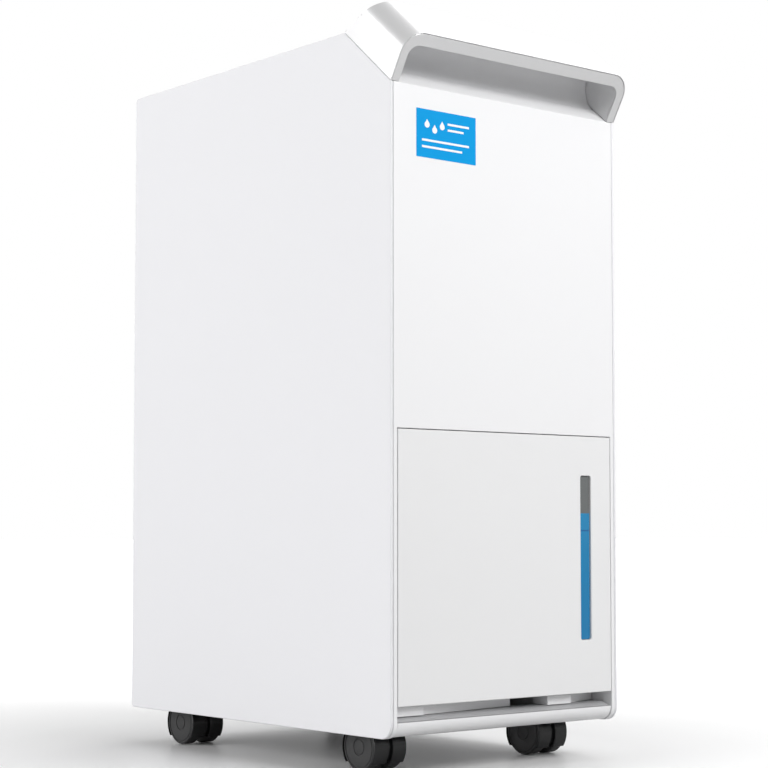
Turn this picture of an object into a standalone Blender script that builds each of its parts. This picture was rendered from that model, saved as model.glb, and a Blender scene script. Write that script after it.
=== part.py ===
"""A portable compressor dehumidifier on four twin-wheel swivel casters, with a pull-out water bucket.

Metres, +Z up, origin on the floor under the middle of the bounding box. The front faces -Y, so "depth" below
always means the distance behind the front face. Every separate piece of the real object is one object here.
"""

import math

import bmesh
import bpy
from mathutils import Matrix, Vector

# ---- Driving dimensions: the casing --------------------------------------------------------------
WIDTH = 0.236
DEPTH = 0.348
FLOOR_GAP = 0.029
BODY_HEIGHT = 0.528
PANEL = 0.0025
GAP = 0.0003
FRONT_CORNER = 0.011
REAR_CORNER = 0.003

# ---- The hood over the finger recess, in the chamfer of the top front edge -----------------------
CHAMFER_DEPTH = 0.0547
CHAMFER_DROP = 0.0467
HOOD_HEIGHT = 0.0389
HOOD_FRONT_SET_BACK = 0.0072
HOOD_BACK_SET_IN = 0.0174
HOOD_CORNER = 0.017
HOOD_ROOF = 0.010
HOOD_LEG = 0.008
RECESS_LENGTH = 0.046
LIP_LENGTH = 0.0190

# ---- The bucket and its bay ----------------------------------------------------------------------
SILL_HEIGHT = 0.0118
SILL_DEPTH = 0.024
FRAME_STRIP = 0.0036
BUCKET_FACE_BOTTOM = 0.0234
BUCKET_FACE_TOP = 0.2254
FACE_GAP = 0.0006
FACE_THICKNESS = 0.003
TUB_HALF_WIDTH = 0.104
TUB_FRONT = 0.012
TUB_BACK = 0.163
TUB_BOTTOM = 0.0535
TUB_TOP = 0.205
TUB_WALL = 0.0022
BAY_HALF_WIDTH = 0.1106
BAY_BACK = 0.168
BAY_CEILING = 0.262
WINDOW_X = 0.0833
WINDOW_WIDTH = 0.0115
WINDOW_BOTTOM = 0.065
WINDOW_TOP = 0.1943
HANDLE_DEPTH = 0.085
HANDLE_PIVOT_Z = 0.2127
HANDLE_ARM = 0.038
HANDLE_HALF_WIDTH = 0.070
HANDLE_RADIUS = 0.003
SPOUT_DEPTH = 0.141
FLOAT_LUGS = (-0.082, -0.058)
FLOAT_X = sum(FLOAT_LUGS) / 2
FLOAT_PIVOT_DEPTH = TUB_BACK - 0.011
FLOAT_PIVOT_Z = 0.190

# ---- The casters ---------------------------------------------------------------------------------
CASTER_INSET = 0.033
CASTER_DEPTH = 0.054
CASTER_TRAIL = 0.005
WHEEL_RADIUS = 0.018
WHEEL_INNER_FACE = 0.0043
WHEEL_OUTER_FACE = 0.0152
FENDER_RADIUS = 0.0198
FENDER_HALF_WIDTH = 0.0155
POCKET_RADIUS = 0.0285
POCKET_CEILING = 0.0408
WELL_TOP = 0.0500

# ---- The refrigerant circuit behind the bucket ---------------------------------------------------
COMPRESSOR_X = 0.018
COMPRESSOR_DEPTH = 0.250
COMPRESSOR_RADIUS = 0.050
ACCUMULATOR_X = -0.062
ACCUMULATOR_DEPTH = 0.232

# ---- The air path in the upper chamber -----------------------------------------------------------
DECK_BOTTOM = 0.2645
DECK_TOP = 0.267
FAN_X = -0.008
FAN_Z = 0.395
FAN_RADIUS = 0.058
SCROLL_FRONT = 0.196
SCROLL_BACK = 0.256
SCROLL_WALL = 0.002
DISCHARGE_HEIGHT = 0.147
COIL_HALF_WIDTH = 0.086
COIL_BOTTOM = 0.300
COIL_TOP = 0.532
EVAPORATOR_DEPTH = (0.298, 0.320)
CONDENSER_DEPTH = (0.266, 0.290)
FILTER_HALF_WIDTH = 0.088
FILTER_BOTTOM = 0.298
FILTER_TOP = 0.534
OUTLET_HALF_WIDTH = 0.088
OUTLET_DEPTH = (0.188, 0.266)

# ---- The controls on top -------------------------------------------------------------------------
CONTROL_HALF_WIDTH = 0.080
CONTROL_DEPTH = (0.082, 0.142)
BUTTON_RADIUS = 0.0068
BUTTON_PITCH = 0.021
BUTTON_OUTERMOST = 0.0675
DISPLAY_X = -0.0105
DISPLAY_HALF_WIDTH = 0.024
DISPLAY_MARGIN = 0.016

# ---- The fittings low on the back: (x, z) --------------------------------------------------------
GLAND_PLACE = (-0.080, 0.100)
DRAIN_PLACE = (0.075, 0.225)

# ---- Worked out from the above -------------------------------------------------------------------
HALF = WIDTH / 2
CHAMFER_ANGLE = math.atan2(CHAMFER_DROP, CHAMFER_DEPTH)
CHAMFER_LENGTH = math.hypot(CHAMFER_DROP, CHAMFER_DEPTH)
HOOD_REACH = (
    HOOD_HEIGHT * math.sin(CHAMFER_ANGLE) - HOOD_FRONT_SET_BACK * math.cos(CHAMFER_ANGLE)
)
FRONT_Y = (HOOD_REACH - DEPTH) / 2
BODY_BOTTOM = FLOOR_GAP
BODY_TOP = FLOOR_GAP + BODY_HEIGHT
CHAMFER_Z = BODY_TOP - CHAMFER_DROP
INSIDE = HALF - PANEL - GAP
SEAM_Z = BODY_BOTTOM + BUCKET_FACE_TOP
FACE_HALF_WIDTH = INSIDE - FRAME_STRIP - FACE_GAP

PARTS = "dehumidifier"
CUTTERS = "cutters"


def back(depth):
    """The y of a point this far behind the front face."""
    return FRONT_Y + depth


# ---- Scene and materials -------------------------------------------------------------------------
def clear_scene():
    """Empties the scene and makes the two collections."""
    for obj in list(bpy.data.objects):
        bpy.data.objects.remove(obj)
    for name in (PARTS, CUTTERS):
        collection = bpy.data.collections.new(name)
        bpy.context.scene.collection.children.link(collection)


def material(name, colour, roughness, metallic=0.0):
    """The Principled material of this name, made the first time that it is asked for."""
    found = bpy.data.materials.get(name)
    if found:
        return found
    made = bpy.data.materials.new(name)
    made.use_nodes = True
    shader = made.node_tree.nodes["Principled BSDF"]
    shader.inputs["Base Color"].default_value = (*colour, 1.0)
    shader.inputs["Roughness"].default_value = roughness
    shader.inputs["Metallic"].default_value = metallic
    made.diffuse_color = (*colour, 1.0)
    return made


def white_front():
    """Gloss white of the front, the hood and the top."""
    return material("white_front", (0.86, 0.86, 0.87), 0.30)


def side_white():
    """Slightly cooler, flatter white of the side panels."""
    return material("side_white", (0.80, 0.80, 0.83), 0.45)


def inner_grey():
    """Grey plastic of the liner, the tray and the scroll."""
    return material("inner_grey", (0.42, 0.43, 0.44), 0.55)


def caster_black():
    """Black nylon of the casters and the gland."""
    return material("caster_black", (0.02, 0.02, 0.022), 0.35)


def wheel_grey():
    """Dark grey of the wheel discs."""
    return material("wheel_grey", (0.07, 0.07, 0.075), 0.40)


def clear_blue():
    """Tinted plastic of the level window."""
    return material("clear_blue", (0.03, 0.35, 0.75), 0.15)


def panel_black():
    """Gloss black of the control panel."""
    return material("panel_black", (0.02, 0.02, 0.025), 0.12)


def steel():
    """Plain steel of shafts and axles."""
    return material("steel", (0.55, 0.55, 0.56), 0.35, 1.0)


def black_steel():
    """Painted steel of the compressor and the motor."""
    return material("black_steel", (0.03, 0.03, 0.03), 0.40, 0.3)


def copper():
    """Copper of the refrigerant pipes."""
    return material("copper", (0.72, 0.36, 0.20), 0.30, 1.0)


def fin_aluminium():
    """Aluminium of the finned coils."""
    return material("fin_aluminium", (0.75, 0.76, 0.77), 0.35, 1.0)


def tub_plastic():
    """Milky plastic of the water tub and its lid."""
    return material("tub_plastic", (0.70, 0.73, 0.76), 0.35)


def foam():
    """White foam of the float."""
    return material("foam", (0.90, 0.90, 0.88), 0.80)


def net():
    """Black nylon net of the air filter."""
    return material("net", (0.05, 0.05, 0.055), 0.70)


def board_green():
    """Green laminate of the control board."""
    return material("board_green", (0.03, 0.22, 0.10), 0.45)


# ---- Building tools ------------------------------------------------------------------------------
def shape(name, mesh, finish=None):
    """An object of this mesh. Without a finish it is a cutter, which is hidden."""
    obj = bpy.data.objects.new(name, mesh)
    bpy.data.collections[PARTS if finish else CUTTERS].objects.link(obj)
    if finish:
        mesh.materials.append(finish)
    else:
        obj.hide_render = True
        obj.display_type = "WIRE"
    return obj


def mesh_of(name, fill):
    """A mesh that the function fill draws into a bmesh."""
    mesh = bpy.data.meshes.new(name)
    drawn = bmesh.new()
    fill(drawn)
    drawn.to_mesh(mesh)
    drawn.free()
    return mesh


def add_block(drawn, low, high):
    """Draws a box between two corners into a bmesh."""
    low, high = Vector(low), Vector(high)
    place = Matrix.Translation((low + high) / 2) @ Matrix.Diagonal((*(high - low), 1))
    bmesh.ops.create_cube(drawn, size=1, matrix=place)


def add_rod(drawn, start, end, radius, sides):
    """Draws a cylinder between two points into a bmesh, its sides touching the round from outside."""
    start, end = Vector(start), Vector(end)
    axis = end - start
    turn = axis.to_track_quat("Z", "Y").to_matrix().to_4x4() @ Matrix.Rotation(math.pi / sides, 4, "Z")
    radius /= math.cos(math.pi / sides)
    bmesh.ops.create_cone(
        drawn,
        cap_ends=True,
        segments=sides,
        radius1=radius,
        radius2=radius,
        depth=axis.length,
        matrix=Matrix.Translation((start + end) / 2) @ turn,
    )


def block(name, low, high, finish=None):
    """A box between two corners."""
    return shape(name, mesh_of(name, lambda b: add_block(b, low, high)), finish)


def blocks(name, corners, finish=None):
    """Several separate boxes in one mesh, for a cutter that repeats."""

    def fill(drawn):
        for low, high in corners:
            add_block(drawn, low, high)

    return shape(name, mesh_of(name, fill), finish)


def rod(name, start, end, radius, finish=None, sides=24):
    """A cylinder between two points."""
    return shape(name, mesh_of(name, lambda b: add_rod(b, start, end, radius, sides)), finish)


def change(target, tool, operation):
    """Adds a Boolean of one object with another, which becomes a hidden helper."""
    tool.hide_render = True
    tool.display_type = "WIRE"
    boolean = target.modifiers.new(f"{operation.lower()} {tool.name}", "BOOLEAN")
    boolean.object = tool
    boolean.operation = operation
    return target


def cut(target, *tools):
    """Cuts the tools out of the target."""
    for tool in tools:
        change(target, tool, "DIFFERENCE")
    return target


def join(target, *tools):
    """Joins the tools to the target, each of which overlaps it."""
    for tool in tools:
        change(target, tool, "UNION")
    return target


def round_corners(corners, steps=6):
    """The points of a closed outline whose corners (u, v, radius) are turned into arcs."""
    points = []
    for i, (u, v, radius) in enumerate(corners):
        here = Vector((u, v))
        if radius <= 0:
            points.append(here)
            continue
        before = (Vector(corners[i - 1][:2]) - here).normalized()
        after = (Vector(corners[(i + 1) % len(corners)][:2]) - here).normalized()
        half = before.angle(after) / 2
        centre = here + (before + after).normalized() * radius / math.sin(half)
        start = here + before * radius / math.tan(half) - centre
        end = here + after * radius / math.tan(half) - centre
        sweep = start.angle_signed(end)
        for step in range(steps + 1):
            turn = Matrix.Rotation(-sweep * step / steps, 2)
            points.append(centre + turn @ start)
    return points


def prism(name, outline, thickness, place, finish=None):
    """A flat outline made solid, half its thickness each side of its plane, set down by a matrix."""
    curve = bpy.data.curves.new(name, "CURVE")
    curve.dimensions = "2D"
    curve.fill_mode = "BOTH"
    curve.extrude = thickness / 2
    spline = curve.splines.new("POLY")
    spline.points.add(len(outline) - 1)
    for point, (u, v) in zip(spline.points, outline):
        point.co = (u, v, 0, 1)
    spline.use_cyclic_u = True
    return solid_of_curve(name, curve, place, finish)


def solid_of_curve(name, curve, place, finish=None):
    """The closed mesh of a curve, with its caps welded, in world coordinates."""
    drawn_by = bpy.data.objects.new(name + "_curve", curve)
    bpy.data.collections[CUTTERS].objects.link(drawn_by)
    bpy.context.view_layer.update()
    graph = bpy.context.evaluated_depsgraph_get()
    mesh = bpy.data.meshes.new_from_object(drawn_by.evaluated_get(graph))
    mesh.name = name
    bpy.data.objects.remove(drawn_by)
    bpy.data.curves.remove(curve)
    welded = bmesh.new()
    welded.from_mesh(mesh)
    bmesh.ops.remove_doubles(welded, verts=welded.verts, dist=1e-5)
    bmesh.ops.recalc_face_normals(welded, faces=welded.faces)
    welded.to_mesh(mesh)
    welded.free()
    mesh.transform(place)
    mesh.materials.clear()
    return shape(name, mesh, finish)


def side_plane(x):
    """Places an outline drawn in (depth, height) upright at this x."""
    return Matrix(((0, 0, 1, x), (1, 0, 0, FRONT_Y), (0, 1, 0, 0), (0, 0, 0, 1)))


def flat_plane(z):
    """Places an outline drawn in (x, depth) flat at this height."""
    return Matrix.Translation((0, FRONT_Y, z))


def face_plane(depth):
    """Places an outline drawn in (x, height) upright, this far behind the front face."""
    return Matrix(((1, 0, 0, 0), (0, 0, -1, back(depth)), (0, 1, 0, 0), (0, 0, 0, 1)))


def bend(points, radius, steps=5):
    """The points of a path whose inner corners are turned into arcs of this radius."""
    path = [Vector(points[0])]
    for before, here, after in zip(points, points[1:], points[2:]):
        here = Vector(here)
        back_way, on_way = (Vector(before) - here).normalized(), (Vector(after) - here).normalized()
        half = back_way.angle(on_way) / 2
        centre = here + (back_way + on_way).normalized() * radius / math.sin(half)
        start = here + back_way * radius / math.tan(half) - centre
        axis = on_way.cross(back_way)
        for step in range(steps + 1):
            turn = Matrix.Rotation((math.pi - 2 * half) * step / steps, 3, axis)
            path.append(centre + turn @ start)
    path.append(Vector(points[-1]))
    return path


def pipe(name, path, radius, finish=None, resolution=2):
    """A round bar or pipe along a path of points."""
    curve = bpy.data.curves.new(name, "CURVE")
    curve.dimensions = "3D"
    curve.bevel_depth = radius
    curve.bevel_resolution = resolution
    curve.use_fill_caps = True
    spline = curve.splines.new("POLY")
    spline.points.add(len(path) - 1)
    for point, place in zip(spline.points, path):
        point.co = (*place, 1)
    return solid_of_curve(name, curve, Matrix.Identity(4), finish)


def lathe(name, profile, centre, finish, sides=32):
    """A turned solid: a profile of (radius, height) from top to bottom, spun about a vertical axis."""
    mesh = mesh_of(name, lambda b: draw_profile(b, profile))
    obj = shape(name, mesh, finish)
    obj.location = centre
    spin = obj.modifiers.new("turned", "SCREW")
    spin.steps = spin.render_steps = sides
    spin.use_merge_vertices = True
    spin.merge_threshold = 0.0001
    return obj


def draw_profile(drawn, profile):
    """Draws an open chain of (radius, height) points into a bmesh, at +X."""
    verts = [drawn.verts.new((radius, 0, height)) for radius, height in profile]
    for upper, lower in zip(verts, verts[1:]):
        drawn.edges.new((upper, lower))


# ---- The casing ----------------------------------------------------------------------------------
def side_panel(name, side):
    """A flat side panel, cut away at the top front where the hood stands."""
    outline = round_corners(
        (
            (0, BODY_BOTTOM, FRONT_CORNER),
            (DEPTH, BODY_BOTTOM, REAR_CORNER),
            (DEPTH, BODY_TOP, REAR_CORNER),
            (CHAMFER_DEPTH, BODY_TOP, 0),
            (0, CHAMFER_Z, 0),
        )
    )
    middle = side * (HALF - PANEL / 2)
    return prism(name, outline, PANEL, side_plane(middle), side_white())


def front_frame():
    """The front: an upper face, two narrow strips beside the bucket, and the rounded sill under it."""
    slope = math.tan(CHAMFER_ANGLE)
    lip = LIP_LENGTH * math.cos(CHAMFER_ANGLE)
    under = CHAMFER_Z - FACE_THICKNESS / math.cos(CHAMFER_ANGLE)
    outline = round_corners(
        (
            (0, BODY_BOTTOM, FRONT_CORNER),
            (SILL_DEPTH, BODY_BOTTOM, 0),
            (SILL_DEPTH, CHAMFER_Z - 0.012, 0),
            (lip, CHAMFER_Z + slope * lip, 0),
            (0, CHAMFER_Z, 0),
        ),
        steps=8,
    )
    frame = prism("front_frame", outline, 2 * INSIDE, side_plane(0), white_front())
    opening = block(
        "bucket_opening",
        (-INSIDE + FRAME_STRIP, back(-0.01), BODY_BOTTOM + SILL_HEIGHT),
        (INSIDE - FRAME_STRIP, back(SILL_DEPTH + 0.01), SEAM_Z + FACE_GAP),
    )
    near, far = FACE_THICKNESS, SILL_DEPTH + 0.01
    outline = (
        (near, SEAM_Z + 0.004),
        (far, SEAM_Z + 0.004),
        (far, under + slope * far),
        (near, under + slope * near),
    )
    behind = prism("behind_the_face", outline, 2 * (INSIDE - FACE_THICKNESS), side_plane(0))
    return cut(frame, opening, behind)


def hood_place():
    """The hood's own axes: x across, y square to the chamfer, z down the chamfer, from its lower edge."""
    c, s = math.cos(CHAMFER_ANGLE), math.sin(CHAMFER_ANGLE)
    return Matrix(((1, 0, 0, 0), (0, -s, -c, FRONT_Y), (0, c, -s, CHAMFER_Z), (0, 0, 0, 1)))


def arch(half_width, foot, height, radius):
    """The outline of an upside-down U: straight legs, round top corners."""
    return round_corners(
        (
            (-half_width, foot, 0),
            (half_width, foot, 0),
            (half_width, height, radius),
            (-half_width, height, radius),
        ),
        steps=8,
    )


def slanted_prism(name, outline, rear, front, finish=None):
    """A prism down the chamfer whose two ends slant: rear and front give an end's place from the height."""
    obj = prism(name, outline, 2, Matrix.Identity(4), finish)
    for vertex in obj.data.vertices:
        end = front if vertex.co.z > 0 else rear
        vertex.co.z = end(vertex.co.y)
    obj.data.transform(hood_place())
    return obj


def handle_hood():
    """The hood over the finger recess: an arch across the whole width, open at its lower front end."""
    outside = slanted_prism(
        "handle_hood",
        arch(HALF, GAP, HOOD_HEIGHT, HOOD_CORNER),
        lambda height: -CHAMFER_LENGTH + HOOD_BACK_SET_IN * height / HOOD_HEIGHT,
        lambda height: -HOOD_FRONT_SET_BACK * height / HOOD_HEIGHT,
        white_front(),
    )
    inside = slanted_prism(
        "finger_recess",
        arch(HALF - HOOD_LEG, -0.01, HOOD_HEIGHT - HOOD_ROOF, HOOD_CORNER - HOOD_LEG),
        lambda height: -RECESS_LENGTH,
        lambda height: 0.02,
    )
    return cut(outside, inside)


def handle_pocket():
    """The sloping floor of the finger recess, which closes the casing under the hood."""
    start = LIP_LENGTH + 2 * GAP
    outline = (
        (-INSIDE, -start),
        (-INSIDE, -CHAMFER_LENGTH + 0.004),
        (INSIDE, -CHAMFER_LENGTH + 0.004),
        (INSIDE, -start),
    )
    step_down, thickness = 0.0012, 0.0024
    turn = Matrix(((1, 0, 0, 0), (0, 0, -1, -step_down - thickness / 2), (0, 1, 0, 0), (0, 0, 0, 1)))
    return prism("handle_pocket", outline, thickness, hood_place() @ turn, white_front())


def top_cover():
    """The flat top, with openings for the control panel and the outlet grille."""
    low, high = CHAMFER_DEPTH + 0.001, DEPTH - 2 * GAP
    cover = block(
        "top_cover",
        (-INSIDE, back(low), BODY_TOP - 0.012),
        (INSIDE, back(high), BODY_TOP),
        white_front(),
    )
    hollow = block(
        "under_the_top",
        (-INSIDE + 0.0025, back(low + 0.0025), BODY_TOP - 0.02),
        (INSIDE - 0.0025, back(high - 0.015), BODY_TOP - 0.003),
    )
    under_rear = block(
        "over_the_rear_cover",
        (-HALF, back(high - 0.0145), BODY_TOP - 0.02),
        (HALF, back(high + 0.01), BODY_TOP - 0.0035),
    )
    outlet = block(
        "outlet_opening",
        (-OUTLET_HALF_WIDTH, back(OUTLET_DEPTH[0]), BODY_TOP - 0.02),
        (OUTLET_HALF_WIDTH, back(OUTLET_DEPTH[1]), BODY_TOP + 0.01),
    )
    controls = block(
        "control_opening",
        (-CONTROL_HALF_WIDTH, back(CONTROL_DEPTH[0]), BODY_TOP - 0.02),
        (CONTROL_HALF_WIDTH, back(CONTROL_DEPTH[1]), BODY_TOP + 0.01),
    )
    return cut(cover, hollow, under_rear, outlet, controls)


def slots(count, columns, first, last, half_width, rib, gap_share):
    """The (low, high) pairs of a grid of slots: rows run from first to last, columns across the width."""
    pitch = (last - first) / count
    wide = (2 * half_width - (columns - 1) * rib) / columns
    for row in range(count):
        start = first + pitch * (row + (1 - gap_share) / 2)
        for column in range(columns):
            left = -half_width + column * (wide + rib)
            yield left, left + wide, start, start + pitch * gap_share


def outlet_grille():
    """The slotted grille over the fan's outlet, set into the top."""
    half, thick, rim = OUTLET_HALF_WIDTH - GAP, 0.004, 0.005
    near, far = OUTLET_DEPTH[0] + GAP, OUTLET_DEPTH[1] - GAP
    grille = block(
        "outlet_grille",
        (-half, back(near), BODY_TOP - thick),
        (half, back(far), BODY_TOP - 0.0004),
        white_front(),
    )
    openings = [
        ((left, back(start), BODY_TOP - 0.01), (right, back(end), BODY_TOP + 0.01))
        for left, right, start, end in slots(6, 3, near + rim, far - rim, half - rim, 0.004, 0.62)
    ]
    return cut(grille, blocks("outlet_slots", openings))


def rear_cover():
    """The back of the casing: a shallow tray with the air inlet, and holes for the gland and the drain."""
    top = BODY_TOP - 0.0042
    cover = block(
        "rear_cover",
        (-INSIDE, back(DEPTH - 0.014), BODY_BOTTOM + 0.0028),
        (INSIDE, back(DEPTH), top),
        white_front(),
    )
    hollow = block(
        "inside_the_rear",
        (-INSIDE + PANEL, back(DEPTH - 0.03), BODY_BOTTOM + 0.0053),
        (INSIDE - PANEL, back(DEPTH - PANEL), top - PANEL),
    )
    inlet = block(
        "inlet_opening",
        (-FILTER_HALF_WIDTH, back(DEPTH - 0.03), FILTER_BOTTOM),
        (FILTER_HALF_WIDTH, back(DEPTH + 0.01), FILTER_TOP),
    )
    gland = rod("gland_hole", *along_depth(*GLAND_PLACE, DEPTH - 0.03, DEPTH + 0.01), 0.0085)
    drain = rod("drain_hole", *along_depth(*DRAIN_PLACE, DEPTH - 0.03, DEPTH + 0.01), 0.0118)
    return cut(cover, hollow, inlet, gland, drain)


def along_depth(x, z, near, far):
    """The two ends of a line from front to back."""
    return (x, back(near), z), (x, back(far), z)


def base_pan():
    """The chassis floor, with a raised well over each caster and bosses under the compressor."""
    floor = block(
        "base_pan",
        (-INSIDE, back(SILL_DEPTH + GAP), BODY_BOTTOM),
        (INSIDE, back(DEPTH - 0.0146), BODY_BOTTOM + 0.0025),
        side_white(),
    )
    reach = POCKET_RADIUS + 0.0012
    for label, x, y in caster_places():
        inner = x - math.copysign(reach, x)
        outer = math.copysign(INSIDE, x)
        well = block(
            f"well_{label}",
            (min(inner, outer), max(y - reach, back(SILL_DEPTH + GAP)), BODY_BOTTOM),
            (max(inner, outer), min(y + reach, back(DEPTH - 0.0146)), WELL_TOP),
        )
        join(floor, well)
    for x in (-0.036, 0.036):
        for depth in (0.198, 0.302):
            boss = rod(
                f"boss_{x}_{depth}",
                (x, back(depth), BODY_BOTTOM + 0.001),
                (x, back(depth), 0.0517),
                0.007,
                sides=16,
            )
            join(floor, boss)
    for label, x, y in caster_places():
        pocket = rod(f"pocket_{label}", (x, y, 0), (x, y, POCKET_CEILING), POCKET_RADIUS)
        socket = rod(f"socket_{label}", (x, y, 0.03), (x, y, 0.06), 0.0047, sides=12)
        cut(floor, pocket, socket)
    return floor


# ---- The casters ---------------------------------------------------------------------------------
def caster_places():
    """(label, x, y) of each caster's swivel axis: front and rear, left and right as seen from the front."""
    x = HALF - CASTER_INSET
    return [
        (f"{end}_{side}", place, y)
        for end, y in (("front", back(CASTER_DEPTH)), ("rear", back(DEPTH - CASTER_DEPTH)))
        for side, place in (("left", -x), ("right", x))
    ]


def caster(label, x, y):
    """A swivel caster: fender with its stem, an axle, and two wheels that turn separately."""
    axle_y = y + CASTER_TRAIL
    centre = Vector((x, axle_y, WHEEL_RADIUS))

    def across(near, far):
        return centre + Vector((near, 0, 0)), centre + Vector((far, 0, 0))

    fender = rod(
        f"caster_fender_{label}",
        *across(-FENDER_HALF_WIDTH, FENDER_HALF_WIDTH),
        FENDER_RADIUS,
        caster_black(),
        sides=24,
    )
    stem_foot, collar_foot = WHEEL_RADIUS + 0.008, WHEEL_RADIUS + 0.016
    collar_top = POCKET_CEILING - 0.0012
    join(
        fender,
        rod(f"stem_{label}", (x, y, stem_foot), (x, y, WELL_TOP - 0.001), 0.004, sides=12),
        rod(f"collar_{label}", (x, y, collar_foot), (x, y, collar_top), 0.009, sides=16),
    )
    for side in (-1, 1):
        inner, outer = side * (WHEEL_INNER_FACE - GAP), side * (FENDER_HALF_WIDTH + 0.01)
        cut(fender, rod(f"wheel_space_{label}_{side}", *across(inner, outer), WHEEL_RADIUS + 0.0006))
    cut(
        fender,
        block(
            f"open_bottom_{label}",
            centre + Vector((-0.03, -0.03, -0.03)),
            centre + Vector((0.03, 0.03, 0.0062 - WHEEL_RADIUS)),
        ),
        rod(f"axle_hole_{label}", *across(-0.01, 0.01), 0.0026, sides=12),
    )
    rod(f"caster_axle_{label}", *across(-0.0134, 0.0134), 0.0022, steel(), sides=12)
    for side, word in ((-1, "a"), (1, "b")):
        inner, outer = side * WHEEL_INNER_FACE, side * WHEEL_OUTER_FACE
        name = f"caster_wheel_{label}_{word}"
        wheel = rod(name, *across(inner, outer), WHEEL_RADIUS, wheel_grey())
        edge = wheel.modifiers.new("rounded tread", "BEVEL")
        edge.width = 0.0012
        bore = rod(f"bore_{label}_{word}", *across(side * 0.003, side * 0.0138), 0.0026, sides=12)
        cut(wheel, bore)


# ---- The bucket ----------------------------------------------------------------------------------
def bucket_front():
    """The bucket's face, which fills the opening in the front, with a slot for the level window."""
    low, high = BODY_BOTTOM + BUCKET_FACE_BOTTOM, SEAM_Z
    face = block(
        "bucket_front",
        (-FACE_HALF_WIDTH, back(0), low),
        (FACE_HALF_WIDTH, back(TUB_FRONT - GAP), high),
        white_front(),
    )
    hollow = block(
        "behind_the_bucket_face",
        (-FACE_HALF_WIDTH + 0.0025, back(FACE_THICKNESS), low - 0.01),
        (FACE_HALF_WIDTH - 0.0025, back(0.05), high - 0.0025),
    )
    slot = prism("window_slot", window_outline(0), 0.02, face_plane(0), None)
    return cut(face, hollow, slot)


def window_outline(inset):
    """The level window's outline, in (x, height)."""
    left, right = WINDOW_X - WINDOW_WIDTH / 2 + inset, WINDOW_X + WINDOW_WIDTH / 2 - inset
    low, high = BODY_BOTTOM + WINDOW_BOTTOM + inset, BODY_BOTTOM + WINDOW_TOP - inset
    radius = 0.0018
    return round_corners(
        ((left, low, radius), (right, low, radius), (right, high, radius), (left, high, radius)), steps=4
    )


def level_window():
    """The clear bar in the bucket's face, behind which the water shows."""
    near, far = 0.0014, TUB_FRONT - GAP
    place = face_plane((near + far) / 2)
    return prism("level_window", window_outline(GAP), far - near, place, clear_blue())


def bucket_tub():
    """The open water tub, with two lugs inside for the float's pin."""
    corner = 0.012
    tall, middle = TUB_TOP - TUB_BOTTOM, (TUB_TOP + TUB_BOTTOM) / 2
    tub = prism("bucket_tub", tub_outline(0, corner), tall, flat_plane(middle), tub_plastic())
    inside = tub_outline(TUB_WALL, corner - TUB_WALL)
    cut(tub, prism("tub_inside", inside, tall, flat_plane(middle + TUB_WALL)))
    for x in FLOAT_LUGS:
        lug = block(
            f"float_lug_{x}",
            (x - 0.0015, back(TUB_BACK - 0.016), FLOAT_PIVOT_Z - 0.006),
            (x + 0.0015, back(TUB_BACK - 0.001), FLOAT_PIVOT_Z + 0.006),
        )
        join(tub, lug)
    pin = (-0.10, back(FLOAT_PIVOT_DEPTH), FLOAT_PIVOT_Z), (-0.03, back(FLOAT_PIVOT_DEPTH), FLOAT_PIVOT_Z)
    return cut(tub, rod("float_pin_hole", *pin, 0.0025, sides=20))


def tub_outline(inset, corner):
    """The tub's outline in (x, depth), drawn in by this much."""
    x, near, far = TUB_HALF_WIDTH - inset, TUB_FRONT + inset, TUB_BACK - inset
    corners = ((-x, near), (x, near), (x, far), (-x, far))
    return round_corners([(*place, corner) for place in corners], steps=5)


def bucket_lid():
    """The lid on the tub: a hole under the drip spout and two ears for the handle."""
    low, high = TUB_TOP + GAP, TUB_TOP + 0.0028
    place = flat_plane((low + high) / 2)
    lid = prism("bucket_lid", tub_outline(0.0006, 0.011), high - low, place, tub_plastic())
    for side in (-1, 1):
        x = side * HANDLE_HALF_WIDTH
        ear = block(
            f"handle_ear_{side}",
            (x - 0.0025, back(HANDLE_DEPTH - 0.006), high - 0.001),
            (x + 0.0025, back(HANDLE_DEPTH + 0.006), HANDLE_PIVOT_Z + 0.0058),
        )
        join(lid, ear)
    line = (-0.1, back(HANDLE_DEPTH), HANDLE_PIVOT_Z), (0.1, back(HANDLE_DEPTH), HANDLE_PIVOT_Z)
    opening = block("drip_opening", (-0.030, back(0.128), low - 0.01), (0.030, back(0.154), high + 0.002))
    return cut(lid, rod("handle_pin_hole", *line, HANDLE_RADIUS + 0.0004, sides=20), opening)


def bucket_handle():
    """The bail that folds flat on the lid: a round bar whose ends turn out into the ears."""
    inner, outer = HANDLE_HALF_WIDTH - 0.0075, HANDLE_HALF_WIDTH + 0.004
    near, far = back(HANDLE_DEPTH), back(HANDLE_DEPTH + HANDLE_ARM)
    corners = [(-outer, near), (-inner, near), (-inner, far), (inner, far), (inner, near), (outer, near)]
    path = bend([(x, y, HANDLE_PIVOT_Z) for x, y in corners], HANDLE_RADIUS + 0.0005, steps=4)
    return pipe("bucket_handle", path, HANDLE_RADIUS, inner_grey())


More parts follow.
